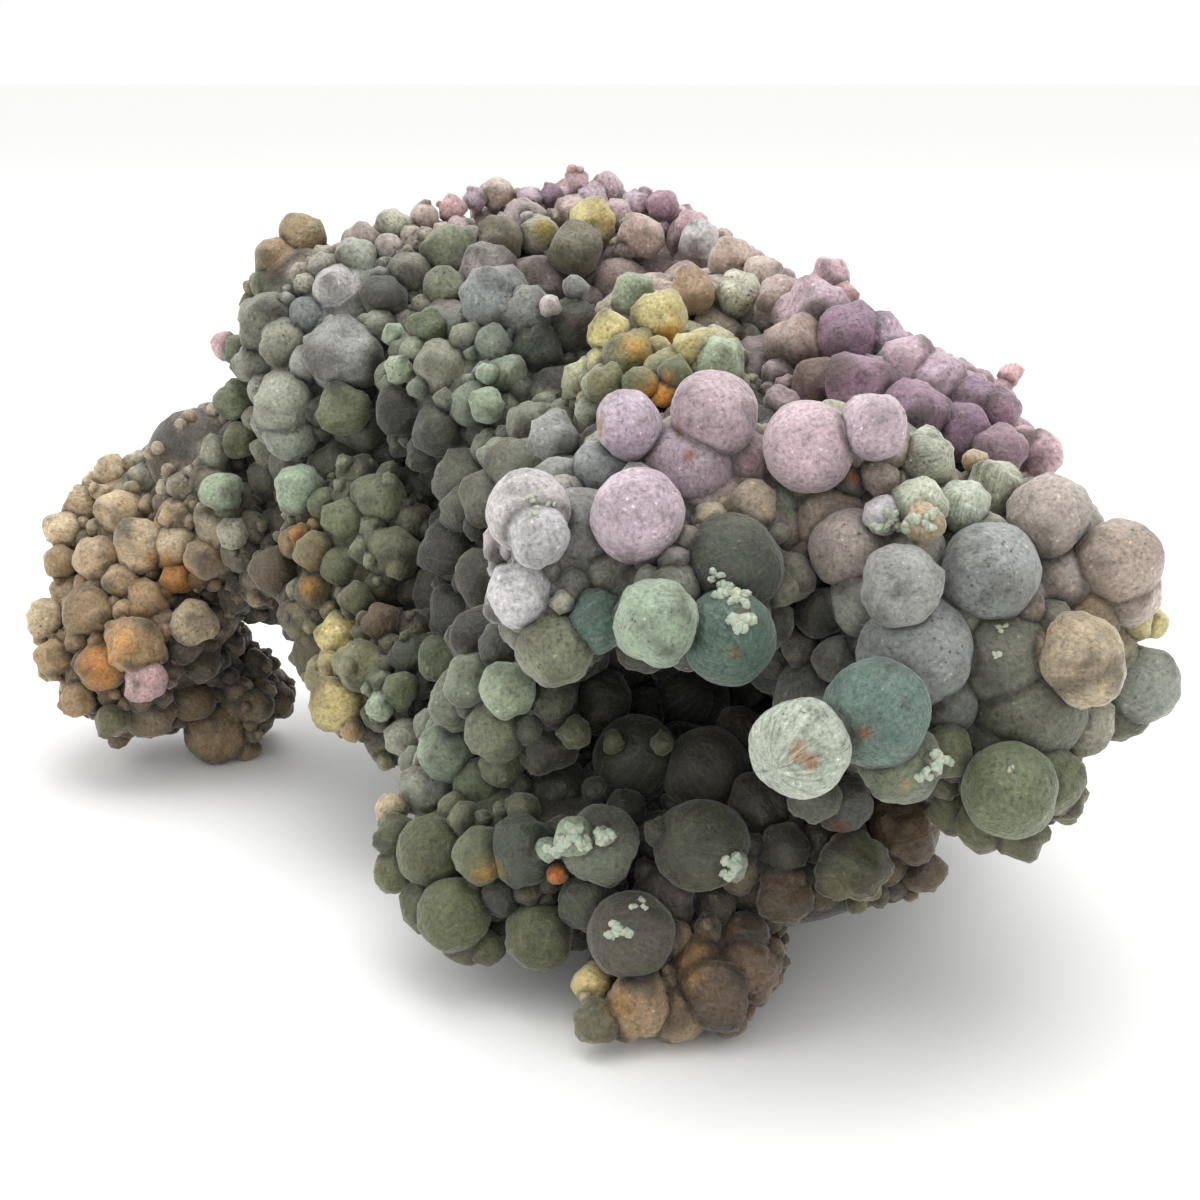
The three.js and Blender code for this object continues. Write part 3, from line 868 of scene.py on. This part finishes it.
# %% Make the lumpy balls
FORMS = {
    "fine": {"copies": 7, "subdivisions": 5, "lump": 0.08, "grit": 0.012},
    "plain": {"copies": 7, "subdivisions": 4, "lump": 0.17, "grit": 0.02},
    "sugary": {"copies": 6, "subdivisions": 4, "lump": 0.3, "grit": 0.07},
    "small": {"copies": 7, "subdivisions": 3, "lump": 0.28, "grit": 0.02},
    "crumb": {"copies": 5, "subdivisions": 2, "lump": 0.34, "grit": 0.0},
    "hump": {"copies": 3, "subdivisions": 3, "lump": 0.1, "grit": 0.03},
}
LUMP_SCALE = 1.2
DIMPLE_SCALE = 3.1
DIMPLE_SHARE = 0.4
GRIT_SCALE = 11.0


def lumpy_ball(name, form, seed):
    ball = bmesh.new()
    bmesh.ops.create_icosphere(ball, subdivisions=form["subdivisions"], radius=1.0)
    shift = Vector((seed * 7.3, seed * 3.1, seed * 5.7))
    for vertex in ball.verts:
        swell = noise.noise(vertex.co * LUMP_SCALE + shift)
        swell += DIMPLE_SHARE * noise.noise(vertex.co * DIMPLE_SCALE - shift)
        grit = form["grit"] * noise.noise(vertex.co * GRIT_SCALE + shift)
        vertex.co *= 1 + form["lump"] * swell + grit
    mesh = bpy.data.meshes.new(name)
    ball.to_mesh(mesh)
    ball.free()
    return bpy.data.objects.new(name, mesh)


forms = bpy.data.collections.new("grape forms")
form_start = {}
for kind, form in FORMS.items():
    form_start[kind] = len(forms.objects)
    for copy in range(form["copies"]):
        number = len(forms.objects)
        forms.objects.link(lumpy_ball(f"form {number:02d} {kind}", form, number + 1))
print("forms:", form_start)

# %% [markdown]
# ## One point for each grape
# Geometry Nodes can put a form on every point of a mesh and read how big it is, how it is turned and which
# form it takes from the point's own attributes. So every grape and every hump becomes one vertex that
# carries those three values.

# %% Write the points
FINE_FROM = 2.6
PLAIN_FROM = {"near": 1.95, "far": 3.2}
SMALL_FROM = {"near": 1.0, "far": 1.35}
SUGARY_FROM = {"near": 1.8, "far": 2.5}
SQUASH = 0.1
SIGHTED_SQUASH = 0.3
ROUGH_CLUSTERS = ("foot", "left lobe")
ROUGH_HUMPS = ("foot", "base front", "under front", "left lobe", "left lobe top", "left lobe foot")
NEAR_SKINS = ("right", "upper", "low")
NEAR_TO = 2.0
TURN_STEPS = np.array([1.0, 2.4, 0.7])


def grape_kinds():
    near = np.isin(hump_skins[grape_humps], [SKINS.index(skin) for skin in NEAR_SKINS])
    near &= grape_places[:, 1] < NEAR_TO
    kinds = np.full(len(grape_radii), "crumb", dtype=object)
    kinds[grape_radii >= np.where(near, SMALL_FROM["near"], SMALL_FROM["far"])] = "small"
    kinds[grape_radii >= np.where(near, PLAIN_FROM["near"], PLAIN_FROM["far"])] = "plain"
    kinds[near & (grape_radii >= FINE_FROM)] = "fine"
    sugary = np.isin(grape_humps, [number for number, hump in enumerate(HUMPS) if hump[0] in ROUGH_HUMPS])
    sugary[: len(front_radii)] = [name in ROUGH_CLUSTERS for name in front_clusters]
    kinds[sugary & (grape_radii >= np.where(near, SUGARY_FROM["near"], SUGARY_FROM["far"]))] = "sugary"
    return kinds


def crust_points(skin):
    """Places, sizes, turns and forms of one skin's grapes and humps."""
    chosen = np.flatnonzero(hump_skins[grape_humps] == skin)
    humps = np.flatnonzero(hump_skins == skin)
    kinds = grape_kinds()[chosen]
    places = np.vstack([grape_places[chosen], hump_middles[humps]]) - MIDDLE
    uneven = 2 * ((chosen[:, None] * np.array(THROW_STEPS)) % 1) - 1
    uneven *= np.where(chosen < len(front_radii), SIGHTED_SQUASH * SQUASH, SQUASH)[:, None]
    sizes = np.vstack([grape_radii[chosen, None] * (1 + uneven), HUMP_SHRINK * hump_halves[humps]])
    turns = np.vstack([chosen[:, None] * TURN_STEPS, np.zeros((len(humps), 3))])
    grape_forms = [form_start[kind] + number % FORMS[kind]["copies"] for kind, number in zip(kinds, chosen)]
    hump_forms = [form_start["hump"] + number % FORMS["hump"]["copies"] for number in humps]
    return places * MM, sizes * MM, turns, np.array(grape_forms + hump_forms)


def point_object(skin):
    places, sizes, turns, numbers = crust_points(skin)
    mesh = bpy.data.meshes.new("points")
    mesh.vertices.add(len(numbers))
    mesh.vertices.foreach_set("co", places.ravel())
    for name, kind, field, values in (
        ("size", "FLOAT_VECTOR", "vector", sizes),
        ("turn", "FLOAT_VECTOR", "vector", turns),
        ("form", "INT", "value", numbers),
    ):
        attribute = mesh.attributes.new(name, kind, "POINT")
        attribute.data.foreach_set(field, values.ravel())
    points = bpy.data.objects.new("points", mesh)
    bpy.context.scene.collection.objects.link(points)
    return points


print("fine grapes:", int((grape_kinds() == "fine").sum()))

# %% [markdown]
# ## Grow the grapes together
# Balls that only overlap would hide walls inside the stone, and light that wanders through it would hit
# them. So a tree of nodes puts the forms on the points and unites them into one closed skin, which leaves
# a sharp valley wherever two grapes meet.

# %% Build the tree
def add_node(tree, kind, settings=None, links=None, values=None):
    """Adds one node, sets its properties and socket values, and links its inputs."""
    node = tree.nodes.new(kind)
    for name, value in (settings or {}).items():
        setattr(node, name, value)
    for name, value in (values or {}).items():
        node.inputs[name].default_value = value
    for name, source in (links or {}).items():
        tree.links.new(source, node.inputs[name])
    return node


def growing_tree(material):
    tree = bpy.data.node_groups.new("grow grapes together", "GeometryNodeTree")
    tree.interface.new_socket("Geometry", in_out="INPUT", socket_type="NodeSocketGeometry")
    scale = tree.interface.new_socket("Grape scale", in_out="INPUT", socket_type="NodeSocketFloat")
    scale.default_value = 1.0
    tree.interface.new_socket("Geometry", in_out="OUTPUT", socket_type="NodeSocketGeometry")
    start = add_node(tree, "NodeGroupInput")
    named = {}
    for name, kind in (("size", "FLOAT_VECTOR"), ("turn", "FLOAT_VECTOR"), ("form", "INT")):
        reader = add_node(tree, "GeometryNodeInputNamedAttribute", {"data_type": kind}, None, {"Name": name})
        named[name] = reader.outputs["Attribute"]
    sized = add_node(
        tree, "ShaderNodeVectorMath", {"operation": "SCALE"},
        {0: named["size"], "Scale": start.outputs["Grape scale"]},
    )
    shapes = add_node(
        tree, "GeometryNodeCollectionInfo", None, None,
        {"Collection": forms, "Separate Children": True, "Reset Children": True},
    )
    placed = add_node(
        tree, "GeometryNodeInstanceOnPoints", None,
        {
            "Points": start.outputs["Geometry"],
            "Instance": shapes.outputs["Instances"],
            "Instance Index": named["form"],
            "Rotation": named["turn"],
            "Scale": sized.outputs["Vector"],
        },
        {"Pick Instance": True},
    )
    united = add_node(
        tree, "GeometryNodeMeshBoolean", {"operation": "UNION", "solver": "MANIFOLD"},
        {"Mesh 2": placed.outputs["Instances"]},
    )
    real = add_node(tree, "GeometryNodeRealizeInstances", None, {"Geometry": united.outputs["Mesh"]})
    finished = add_node(
        tree, "GeometryNodeSetMaterial", None, {"Geometry": real.outputs["Geometry"]}, {"Material": material}
    )
    add_node(tree, "NodeGroupOutput", None, {"Geometry": finished.outputs["Geometry"]})
    return tree, scale.identifier


chalcedony = bpy.data.materials.new("frosted chalcedony, grown, unpolished")
tree, scale_socket = growing_tree(chalcedony)
print("nodes in the tree:", len(tree.nodes))

# %% [markdown]
# ## Run it, drop the pockets and level the feet
# The tree runs once for each skin, and its result becomes a plain mesh. Closed pockets that the union left
# inside are dropped, because nothing can see them, and so are slivers of a few faces. What is below the
# table is pressed flat. An edge stays sharp where two grapes meet at a valley, and is smoothed elsewhere.

# %% Grow each skin
VALLEY_ANGLE = math.radians(52)
SMALLEST_GROUP = 40


def skin_groups(skin):
    """The separate closed skins of a mesh, as lists of vertices."""
    unseen = set(skin.verts)
    groups = []
    while unseen:
        seed = unseen.pop()
        group = [seed]
        front = [seed]
        while front:
            for edge in front.pop().link_edges:
                for other in edge.verts:
                    if other in unseen:
                        unseen.discard(other)
                        group.append(other)
                        front.append(other)
        groups.append(group)
    return groups


def holds_volume(group):
    """True for an outer skin, whose faces look away from what they hold, and False for a pocket."""
    faces = {face for vertex in group for face in vertex.link_faces}
    corners = ([vertex.co for vertex in face.verts] for face in faces)
    return sum(one.dot(two.cross(three)) for one, two, three in corners) > 0


def clean_skin(mesh):
    skin = bmesh.new()
    skin.from_mesh(mesh)
    bmesh.ops.triangulate(skin, faces=skin.faces)
    pockets = [group for group in skin_groups(skin) if not holds_volume(group)]
    inside = [vertex for group in pockets for vertex in group]
    bmesh.ops.delete(skin, geom=inside, context="VERTS")
    slivers = [group for group in skin_groups(skin) if len(group) < SMALLEST_GROUP]
    bmesh.ops.delete(skin, geom=[vertex for group in slivers for vertex in group], context="VERTS")
    outer = [len(group) for group in skin_groups(skin)]
    for vertex in skin.verts:
        vertex.co.z = max(vertex.co.z, 0.0)
    skin.to_mesh(mesh)
    skin.free()
    return len(pockets), sorted(outer)[:-1]


def grow_skin(number):
    points = point_object(number)
    grow = points.modifiers.new("grow", "NODES")
    grow.node_group = tree
    grow[scale_socket] = 1.0
    depsgraph = bpy.context.evaluated_depsgraph_get()
    mesh = bpy.data.meshes.new_from_object(points.evaluated_get(depsgraph))
    bpy.data.objects.remove(points)
    pockets, outer = clean_skin(mesh)
    mesh.shade_smooth()
    mesh.set_sharp_from_angle(angle=VALLEY_ANGLE)
    name = f"{SKINS[number]}_crust"
    mesh.name = name
    skin = bpy.data.objects.new(name, mesh)
    bpy.context.scene.collection.objects.link(skin)
    print(name, "faces:", len(mesh.polygons), "pockets dropped:", pockets, "lone grapes:", outer)
    return skin


skins = [grow_skin(number) for number in range(len(SKINS))]

# %% [markdown]
# ## Hand every vertex its grape
# The finish needs to know which grape a point is on and how near the next valley is. For each vertex the
# nearest few grapes are looked up, and four attributes are stored: the grape's colour, how far the vertex
# stands clear of the valley, its place on a fan of fibres that spreads from the grape's root, and how
# plainly those fibres show.

# %% Colour, valley and fan of every vertex
NEIGHBOURS = 10
VALLEY_WIDTH = 0.6
MATRIX_GAP = 0.4
MATRIX_SHARE = 0.75
MATRIX_VALLEY = 0.5
MATRIX = "#383223"
STREAKED = {"f": 0.8, "w": 0.2, "c": 0.35, "l": 0.12, "t": 0.2, "n": 0.15, "e": 0.15}
FAINT_STREAKS = 0.1
FAN_FIBRES = 9.0
FAN_LENGTH = 1.2

streaks = np.full(len(grape_radii), FAINT_STREAKS)
streaks[: len(front_radii)] = [STREAKED.get(letter, FAINT_STREAKS) for letter in front_tints]
grape_tree = kdtree.KDTree(len(grape_radii))
for number, place in enumerate((grape_places - MIDDLE) * MM):
    grape_tree.insert(place, number)
grape_tree.balance()


def nearest_grapes(points):
    """For each point: its nearest grape, the gap to that skin and to the next one, in mm."""
    owner = np.zeros(len(points), dtype=int)
    gaps = np.zeros((len(points), 2))
    for row, point in enumerate(points):
        near = grape_tree.find_n(point, NEIGHBOURS)
        found = sorted((gap / MM - grape_radii[number], number) for _, number, gap in near)
        owner[row] = found[0][1]
        gaps[row] = found[0][0], found[1][0]
    return owner, gaps


def fan_places(points, owner):
    """A point's angle round its grape's root line and away from it, laid out for streaky noise."""
    root = grape_places[owner] - hump_middles[grape_humps[owner]]
    root /= np.linalg.norm(root, axis=1)[:, None]
    out = points / MM + MIDDLE - grape_places[owner]
    out /= np.linalg.norm(out, axis=1)[:, None]
    side = np.cross(root, (0.31, 0.22, 0.93))
    side /= np.linalg.norm(side, axis=1)[:, None]
    other = np.cross(root, side)
    flat = np.column_stack([(out * side).sum(1), (out * other).sum(1)])
    flat /= np.maximum(np.linalg.norm(flat, axis=1), 0.05)[:, None]
    away = np.arccos(np.clip((out * root).sum(1), -1, 1))
    return np.column_stack([flat * FAN_FIBRES, away * FAN_LENGTH]) + (owner * 3.7 % 50)[:, None]


def store(mesh, name, kind, field, values):
    attribute = mesh.attributes.new(name, kind, "POINT")
    attribute.data.foreach_set(field, np.ascontiguousarray(values, dtype=np.float32).ravel())


def hand_grapes_over(skin):
    mesh = skin.data
    points = np.zeros(len(mesh.vertices) * 3)
    mesh.vertices.foreach_get("co", points)
    points = points.reshape(-1, 3)
    owner, gaps = nearest_grapes(points)
    matrix_share = MATRIX_SHARE * np.clip(gaps[:, 0] / MATRIX_GAP, 0, 1)[:, None]
    tint = colours_of_grapes[owner] * (1 - matrix_share) + np.array(linear(MATRIX)) * matrix_share
    clear = np.clip((gaps[:, 1] - gaps[:, 0]) / VALLEY_WIDTH, 0, 1) * (1 - MATRIX_VALLEY * matrix_share[:, 0])
    store(mesh, "clear", "FLOAT", "value", clear)
    store(mesh, "streaks", "FLOAT", "value", streaks[owner])
    store(mesh, "fan", "FLOAT_VECTOR", "vector", fan_places(points, owner))
    return points, tint


skin_points = {}
skin_tints = {}
for skin in skins:
    skin_points[skin.name], skin_tints[skin.name] = hand_grapes_over(skin)
print("vertices with a grape:", {name: len(points) for name, points in skin_points.items()})

# %% [markdown]
# ## Stains
# Iron has stained a few spots orange and brown, mostly where two grapes meet. Each is written by sight, and
# a ray from the eye finds the skin there. The stain fades out from that point, with a ragged edge.

# %% Stain the skin
STAINS = [
    (798, 752, 0.8, "#8a5f38"),
    (812, 762, 0.6, "#8a6a44"),
    (864, 733, 0.6, "#7a5230"),
    (905, 786, 0.5, "#9a7c58"),
    (852, 475, 0.75, "#a06434"),
    (679, 430, 0.45, "#8e6240"),
    (688, 456, 0.45, "#8a4f34"),
    (893, 523, 0.4, "#6e3a1e"),
    (1049, 633, 0.5, "#b87a3a"),
    (556, 875, 0.9, "#b5622a"),
    (660, 394, 1.4, "#d08a2c"),
    (600, 428, 0.8, "#b0762a"),
    (488, 873, 1.2, "#96752c"),
    (672, 334, 1.5, "#c79a45"),
    (640, 345, 1.6, "#b08a3c"),
    (301, 535, 1.0, "#a06a2c"),
    (305, 585, 1.3, "#8a6224"),
    (178, 577, 2.2, "#9a6a28"),
    (160, 560, 1.6, "#a87434"),
    (105, 662, 2.2, "#b07a3c"),
    (120, 640, 1.6, "#b88648"),
    (745, 612, 0.6, "#6e5a34"),
    (736, 652, 0.5, "#6e5a34"),
    (700, 950, 1.4, "#7a5a30"),
    (690, 975, 1.1, "#8a6a3c"),
    (620, 1005, 1.2, "#96713c"),
    (838, 830, 0.9, "#5a3620"),
    (545, 228, 1.8, "#93823e"),
    (600, 215, 1.8, "#a8965a"),
]
RAGGED_SCALE = 1400.0
RAGGED_DEPTH = 0.45
STAIN_REACH = 1.4
STAIN_FULL = 1.15
eye_place = Vector(((EYE - MIDDLE) * MM).tolist())


def skin_under(across, down):
    """The point of the stone that the eye sees there, or None where it sees past it."""
    aim = Vector(((place_by_sight(across, down, 100.0) - MIDDLE) * MM).tolist()) - eye_place
    hits = [skin.ray_cast(eye_place, aim.normalized()) for skin in skins]
    places = [place for found, place, _, _ in hits if found]
    return min(places, key=lambda place: (place - eye_place).length) if places else None


bpy.context.view_layer.update()
for across, down, radius, colour in STAINS:
    centre = skin_under(across, down)
    if centre is None:
        print("no skin under the stain at", across, down)
        continue
    for name, points in skin_points.items():
        gaps = np.linalg.norm(points - np.array(centre), axis=1) / MM
        for row in np.flatnonzero(gaps < STAIN_REACH * radius):
            ragged = RAGGED_DEPTH * noise.noise(Vector(points[row]) * RAGGED_SCALE)
            share = min(1.0, max(0.0, STAIN_FULL - gaps[row] / radius + ragged))
            skin_tints[name][row] = (1 - share) * skin_tints[name][row] + share * np.array(linear(colour))
for skin in skins:
    tint = skin_tints[skin.name]
    store(skin.data, "tint", "FLOAT_COLOR", "color", np.column_stack([tint, np.ones(len(tint))]))
print("stains:", len(STAINS))

# %% [markdown]
# ## The finish: frosted chalcedony
# Chalcedony glows, because light goes a few millimetres in before it comes out, so a grape has hardly any
# shaded side. Its skin is unpolished: countless quartz tips make it frosted, and catch the light at the rim,
# which a sheen does here. Inside, it is cloudy, and fine fibres fan out from the root of each grape. The
# valleys are darkened brown, which is painted shade together with the brown stain that sits in some of them,
# and small dark pits are sunk in the skin in swarms.

# %% Build the material
# Sizes in mm. The real quartz tips are finer than the grain here, which is drawn so that it shows.
GRAIN = 0.3
CLOUD = 2.2
LUMP = 1.1
PIT = 0.55
PIT_SWARM = 4.5


def per_mm(size):
    """Pattern scale for a size in mm, since Object coordinates are in metres."""
    return 1 / (size * MM)


def remap(nodes, source, low, high, to_low=0.0, to_high=1.0):
    """A value stretched from one range to another."""
    values = {"From Min": low, "From Max": high, "To Min": to_low, "To Max": to_high}
    return add_node(nodes, "ShaderNodeMapRange", None, {"Value": source}, values).outputs["Result"]


def tinted(nodes, base, share, colour, blend="MIX"):
    """A colour changed by share towards another, which is a hex value."""
    settings = {"data_type": "RGBA", "blend_type": blend}
    mixed = add_node(nodes, "ShaderNodeMix", settings, {0: share, 6: base}, {7: (*linear(colour), 1)})
    return mixed.outputs[2]


def times(nodes, one, other):
    return add_node(nodes, "ShaderNodeMath", {"operation": "MULTIPLY"}, {0: one, 1: other}).outputs["Value"]


def noise_value(nodes, place, scale, detail=3.0, rough=0.55):
    values = {"Scale": scale, "Detail": detail, "Roughness": rough}
    return add_node(nodes, "ShaderNodeTexNoise", None, {"Vector": place}, values).outputs["Fac"]


def chalcedony_colour(nodes, place, grain):
    colour = add_node(nodes, "ShaderNodeAttribute", {"attribute_name": "tint"}).outputs["Color"]
    clear = add_node(nodes, "ShaderNodeAttribute", {"attribute_name": "clear"}).outputs["Fac"]
    fan = add_node(nodes, "ShaderNodeAttribute", {"attribute_name": "fan"}).outputs["Vector"]
    cloud = noise_value(nodes, place, per_mm(CLOUD), 2.0, 0.6)
    colour = tinted(nodes, colour, remap(nodes, cloud, 0.45, 0.3, 0.0, 0.75), "#b4b6ae", "MULTIPLY")
    colour = tinted(nodes, colour, remap(nodes, cloud, 0.5, 0.75, 0.0, 0.3), "#cfccc8", "DODGE")
    streaked = add_node(nodes, "ShaderNodeAttribute", {"attribute_name": "streaks"}).outputs["Fac"]
    fibres = noise_value(nodes, fan, 1.0, 2.0, 0.7)
    light = times(nodes, remap(nodes, fibres, 0.5, 0.68, 0.0, 0.5), streaked)
    dark = times(nodes, remap(nodes, fibres, 0.45, 0.3, 0.0, 0.75), streaked)
    colour = tinted(nodes, colour, light, "#d6d6cd")
    colour = tinted(nodes, colour, dark, "#7d7d70", "MULTIPLY")
    colour = tinted(nodes, colour, remap(nodes, grain, 0.5, 0.7, 0.0, 0.36), "#dedcd4", "DODGE")
    colour = tinted(nodes, colour, remap(nodes, grain, 0.48, 0.3, 0.0, 0.6), "#98988c", "MULTIPLY")
    # Painted glints: the palest specks of the grain are lifted towards white, like sparkling quartz tips.
    colour = tinted(nodes, colour, remap(nodes, grain, 0.69, 0.74, 0.0, 0.5), "#f4f2ec", "DODGE")
    # Painted shade, with some brown stain: the colour darkens towards each valley where two grapes meet.
    valley = remap(nodes, clear, 0.8, 0.0, 0.0, 0.7)
    colour = tinted(nodes, colour, valley, "#6b6250", "MULTIPLY")
    pits = add_node(nodes, "ShaderNodeTexVoronoi", None, {"Vector": place}, {"Scale": per_mm(PIT)})
    swarm = remap(nodes, noise_value(nodes, place, per_mm(PIT_SWARM), 1.0), 0.54, 0.62)
    pit = remap(nodes, pits.outputs["Distance"], 0.24, 0.12)
    both = times(nodes, swarm, pit)
    return tinted(nodes, colour, remap(nodes, both, 0.0, 1.0, 0.0, 0.7), "#3a372c"), both, fibres


def finish_chalcedony(material):
    material.use_nodes = True
    nodes = material.node_tree
    nodes.nodes.clear()
    place = add_node(nodes, "ShaderNodeTexCoord").outputs["Object"]
    grain = noise_value(nodes, place, per_mm(GRAIN), 2.0, 0.7)
    colour, pits, fibres = chalcedony_colour(nodes, place, grain)
    lumps = noise_value(nodes, place, per_mm(LUMP), 1.0)
    normal = None
    for height, depth, strength in (
        (lumps, 0.22, 0.6),
        (fibres, 0.03, 0.4),
        (grain, 0.16, 1.0),
        (pits, -0.12, 0.7),
    ):
        links = {"Height": height}
        if normal:
            links["Normal"] = normal
        values = {"Strength": strength, "Distance": abs(depth) * MM}
        normal = add_node(nodes, "ShaderNodeBump", {"invert": depth < 0}, links, values).outputs["Normal"]
    skin = add_node(
        nodes, "ShaderNodeBsdfPrincipled", {"subsurface_method": "RANDOM_WALK"},
        {"Base Color": colour, "Roughness": remap(nodes, grain, 0.3, 0.7, 0.7, 0.45), "Normal": normal},
        {
            "IOR": 1.54,
            "Subsurface Weight": 0.9,
            "Subsurface Radius": (1.0, 0.95, 0.85),
            "Subsurface Scale": 2.0 * MM,
            "Sheen Weight": 0.3,
            "Sheen Roughness": 0.35,
        },
    )
    add_node(nodes, "ShaderNodeOutputMaterial", None, {"Surface": skin.outputs["BSDF"]})


finish_chalcedony(chalcedony)
print("finish:", chalcedony.name)

# %% [markdown]
# ## White druse
# A few patches of tiny pale crystals sit on the dark grapes in front. Each patch is a place by sight, a
# spread, a number of crystals and their size in mm. Rays from the eye find the skin, and every crystal is
# a small block with knocked-off corners, turned by steady steps, so each run is the same.

# %% Grow the druse
DRUSE = [
    (727, 592, 16, 26, 0.3),
    (741, 600, 14, 16, 0.24),
    (741, 622, 13, 30, 0.34),
    (716, 575, 10, 10, 0.2),
    (574, 838, 20, 30, 0.34),
    (556, 850, 12, 18, 0.3),
    (603, 836, 12, 20, 0.3),
    (618, 931, 16, 22, 0.26),
    (640, 905, 12, 10, 0.2),
    (733, 862, 12, 24, 0.3),
    (728, 875, 8, 10, 0.24),
    (538, 505, 22, 14, 0.16),
    (892, 524, 22, 30, 0.26),
    (925, 520, 18, 22, 0.26),
    (1001, 628, 8, 5, 0.16),
    (996, 655, 4, 3, 0.18),
    (1010, 768, 8, 3, 0.14),
    (940, 760, 14, 24, 0.26),
    (925, 775, 10, 12, 0.26),
]
DRUSE_WIDTH = 0.8
DRUSE_FLATNESS = 0.7
CRYSTAL_LEAST = 0.8
CRYSTAL_RANGE = 0.9


def crystal_points():
    rows = []
    number = 0
    for across, down, spread, count, size in DRUSE:
        for _ in range(count):
            number += 1
            height, turn, share = ((number * np.array(THROW_STEPS)) % 1).tolist()
            out = DRUSE_WIDTH * spread * math.sqrt(height)
            angle = 2 * math.pi * turn
            up = DRUSE_FLATNESS * out * math.sin(angle)
            place = skin_under(across + out * math.cos(angle), down + up)
            if place is not None:
                rows.append((place, size * (CRYSTAL_LEAST + CRYSTAL_RANGE * share) * MM, number))
    return rows


def druse_piece(material):
    druse = bmesh.new()
    rows = crystal_points()
    for place, size, number in rows:
        turned = Matrix.Rotation(number * 1.7, 4, "X") @ Matrix.Rotation(number * 2.9, 4, "Y")
        shaped = Matrix.Diagonal((size, size * 0.8, size * 0.65, 1))
        bmesh.ops.create_icosphere(
            druse, subdivisions=1, radius=1.0, matrix=Matrix.Translation(place) @ turned @ shaped
        )
    mesh = bpy.data.meshes.new("white_druse")
    druse.to_mesh(mesh)
    druse.free()
    mesh.materials.append(material)
    piece = bpy.data.objects.new("white_druse", mesh)
    bpy.context.scene.collection.objects.link(piece)
    print("druse crystals:", len(rows), "faces:", len(mesh.polygons))
    return piece


def finish_druse(material):
    material.use_nodes = True
    nodes = material.node_tree
    nodes.nodes.clear()
    place = add_node(nodes, "ShaderNodeTexCoord").outputs["Object"]
    tone = noise_value(nodes, place, per_mm(0.8))
    base = add_node(nodes, "ShaderNodeRGB")
    base.outputs["Color"].default_value = (*linear("#b9bfab"), 1)
    colour = tinted(nodes, base.outputs["Color"], remap(nodes, tone, 0.4, 0.65, 0.0, 0.6), "#939984")
    skin = add_node(
        nodes, "ShaderNodeBsdfPrincipled", None,
        {"Base Color": colour, "Roughness": remap(nodes, tone, 0.3, 0.7, 0.3, 0.5)},
        {"IOR": 1.54, "Subsurface Weight": 0.4, "Subsurface Scale": 0.4 * MM},
    )
    add_node(nodes, "ShaderNodeOutputMaterial", None, {"Surface": skin.outputs["BSDF"]})


quartz = bpy.data.materials.new("white quartz druse, grown")
finish_druse(quartz)
druse = druse_piece(quartz)
for piece in (*skins, druse):
    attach(piece, "root")
    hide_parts("grape_agate")

# %% [markdown]
# ## Table, light and camera
# A plain pale table, one large soft light straight above with a weak one from the left, and a white room.
# The camera stands at the eye that the grapes were placed from, so they fall where they are seen.

# %% Set the stage
FLOOR_SIDE = 6.0
LENS = 51.0
ROOM_LIGHT = 1.0
OVERHEAD = {"place": (0.03, 0.05, 0.5), "size": 0.45, "power": 1.5}
FROM_LEFT = {"place": (-0.35, -0.1, 0.35), "size": 0.3, "power": 0.3}


def plain_paint(name, hex_colour):
    material = bpy.data.materials.new(name)
    material.use_nodes = True
    shader = material.node_tree.nodes["Principled BSDF"]
    shader.inputs["Base Color"].default_value = (*linear(hex_colour), 1)
    shader.inputs["Roughness"].default_value = 0.7
    return material


def soft_light(name, place, size, power):
    lamp = bpy.data.lights.new(name, "AREA")
    lamp.size = size
    lamp.energy = power
    light = bpy.data.objects.new(name, lamp)
    light.location = place
    aim = Vector((0, 0, 0.02)) - Vector(place)
    light.rotation_euler = aim.to_track_quat("-Z", "Y").to_euler()
    bpy.context.scene.collection.objects.link(light)


bpy.ops.mesh.primitive_plane_add(size=FLOOR_SIDE)
floor = bpy.context.object
floor.name = "table"
floor.data.materials.append(plain_paint("white laminate, matt", "#fafaf9"))
soft_light("overhead softbox", **OVERHEAD)
soft_light("left softbox", **FROM_LEFT)

world = bpy.data.worlds.new("white room")
world.use_nodes = True
world.node_tree.nodes["Background"].inputs["Color"].default_value = (1, 1, 1, 1)
world.node_tree.nodes["Background"].inputs["Strength"].default_value = ROOM_LIGHT
bpy.context.scene.world = world
bpy.context.scene.view_settings.view_transform = "Standard"

camera_data = bpy.data.cameras.new("eye")
camera_data.lens = LENS
camera_data.sensor_width = 36.0
camera_data.clip_start = 0.01
camera = bpy.data.objects.new("eye", camera_data)
camera.location = eye_place
camera.rotation_euler = (math.pi / 2 - VIEW_TILT, 0.0, 0.0)
bpy.context.scene.collection.objects.link(camera)
bpy.context.scene.camera = camera
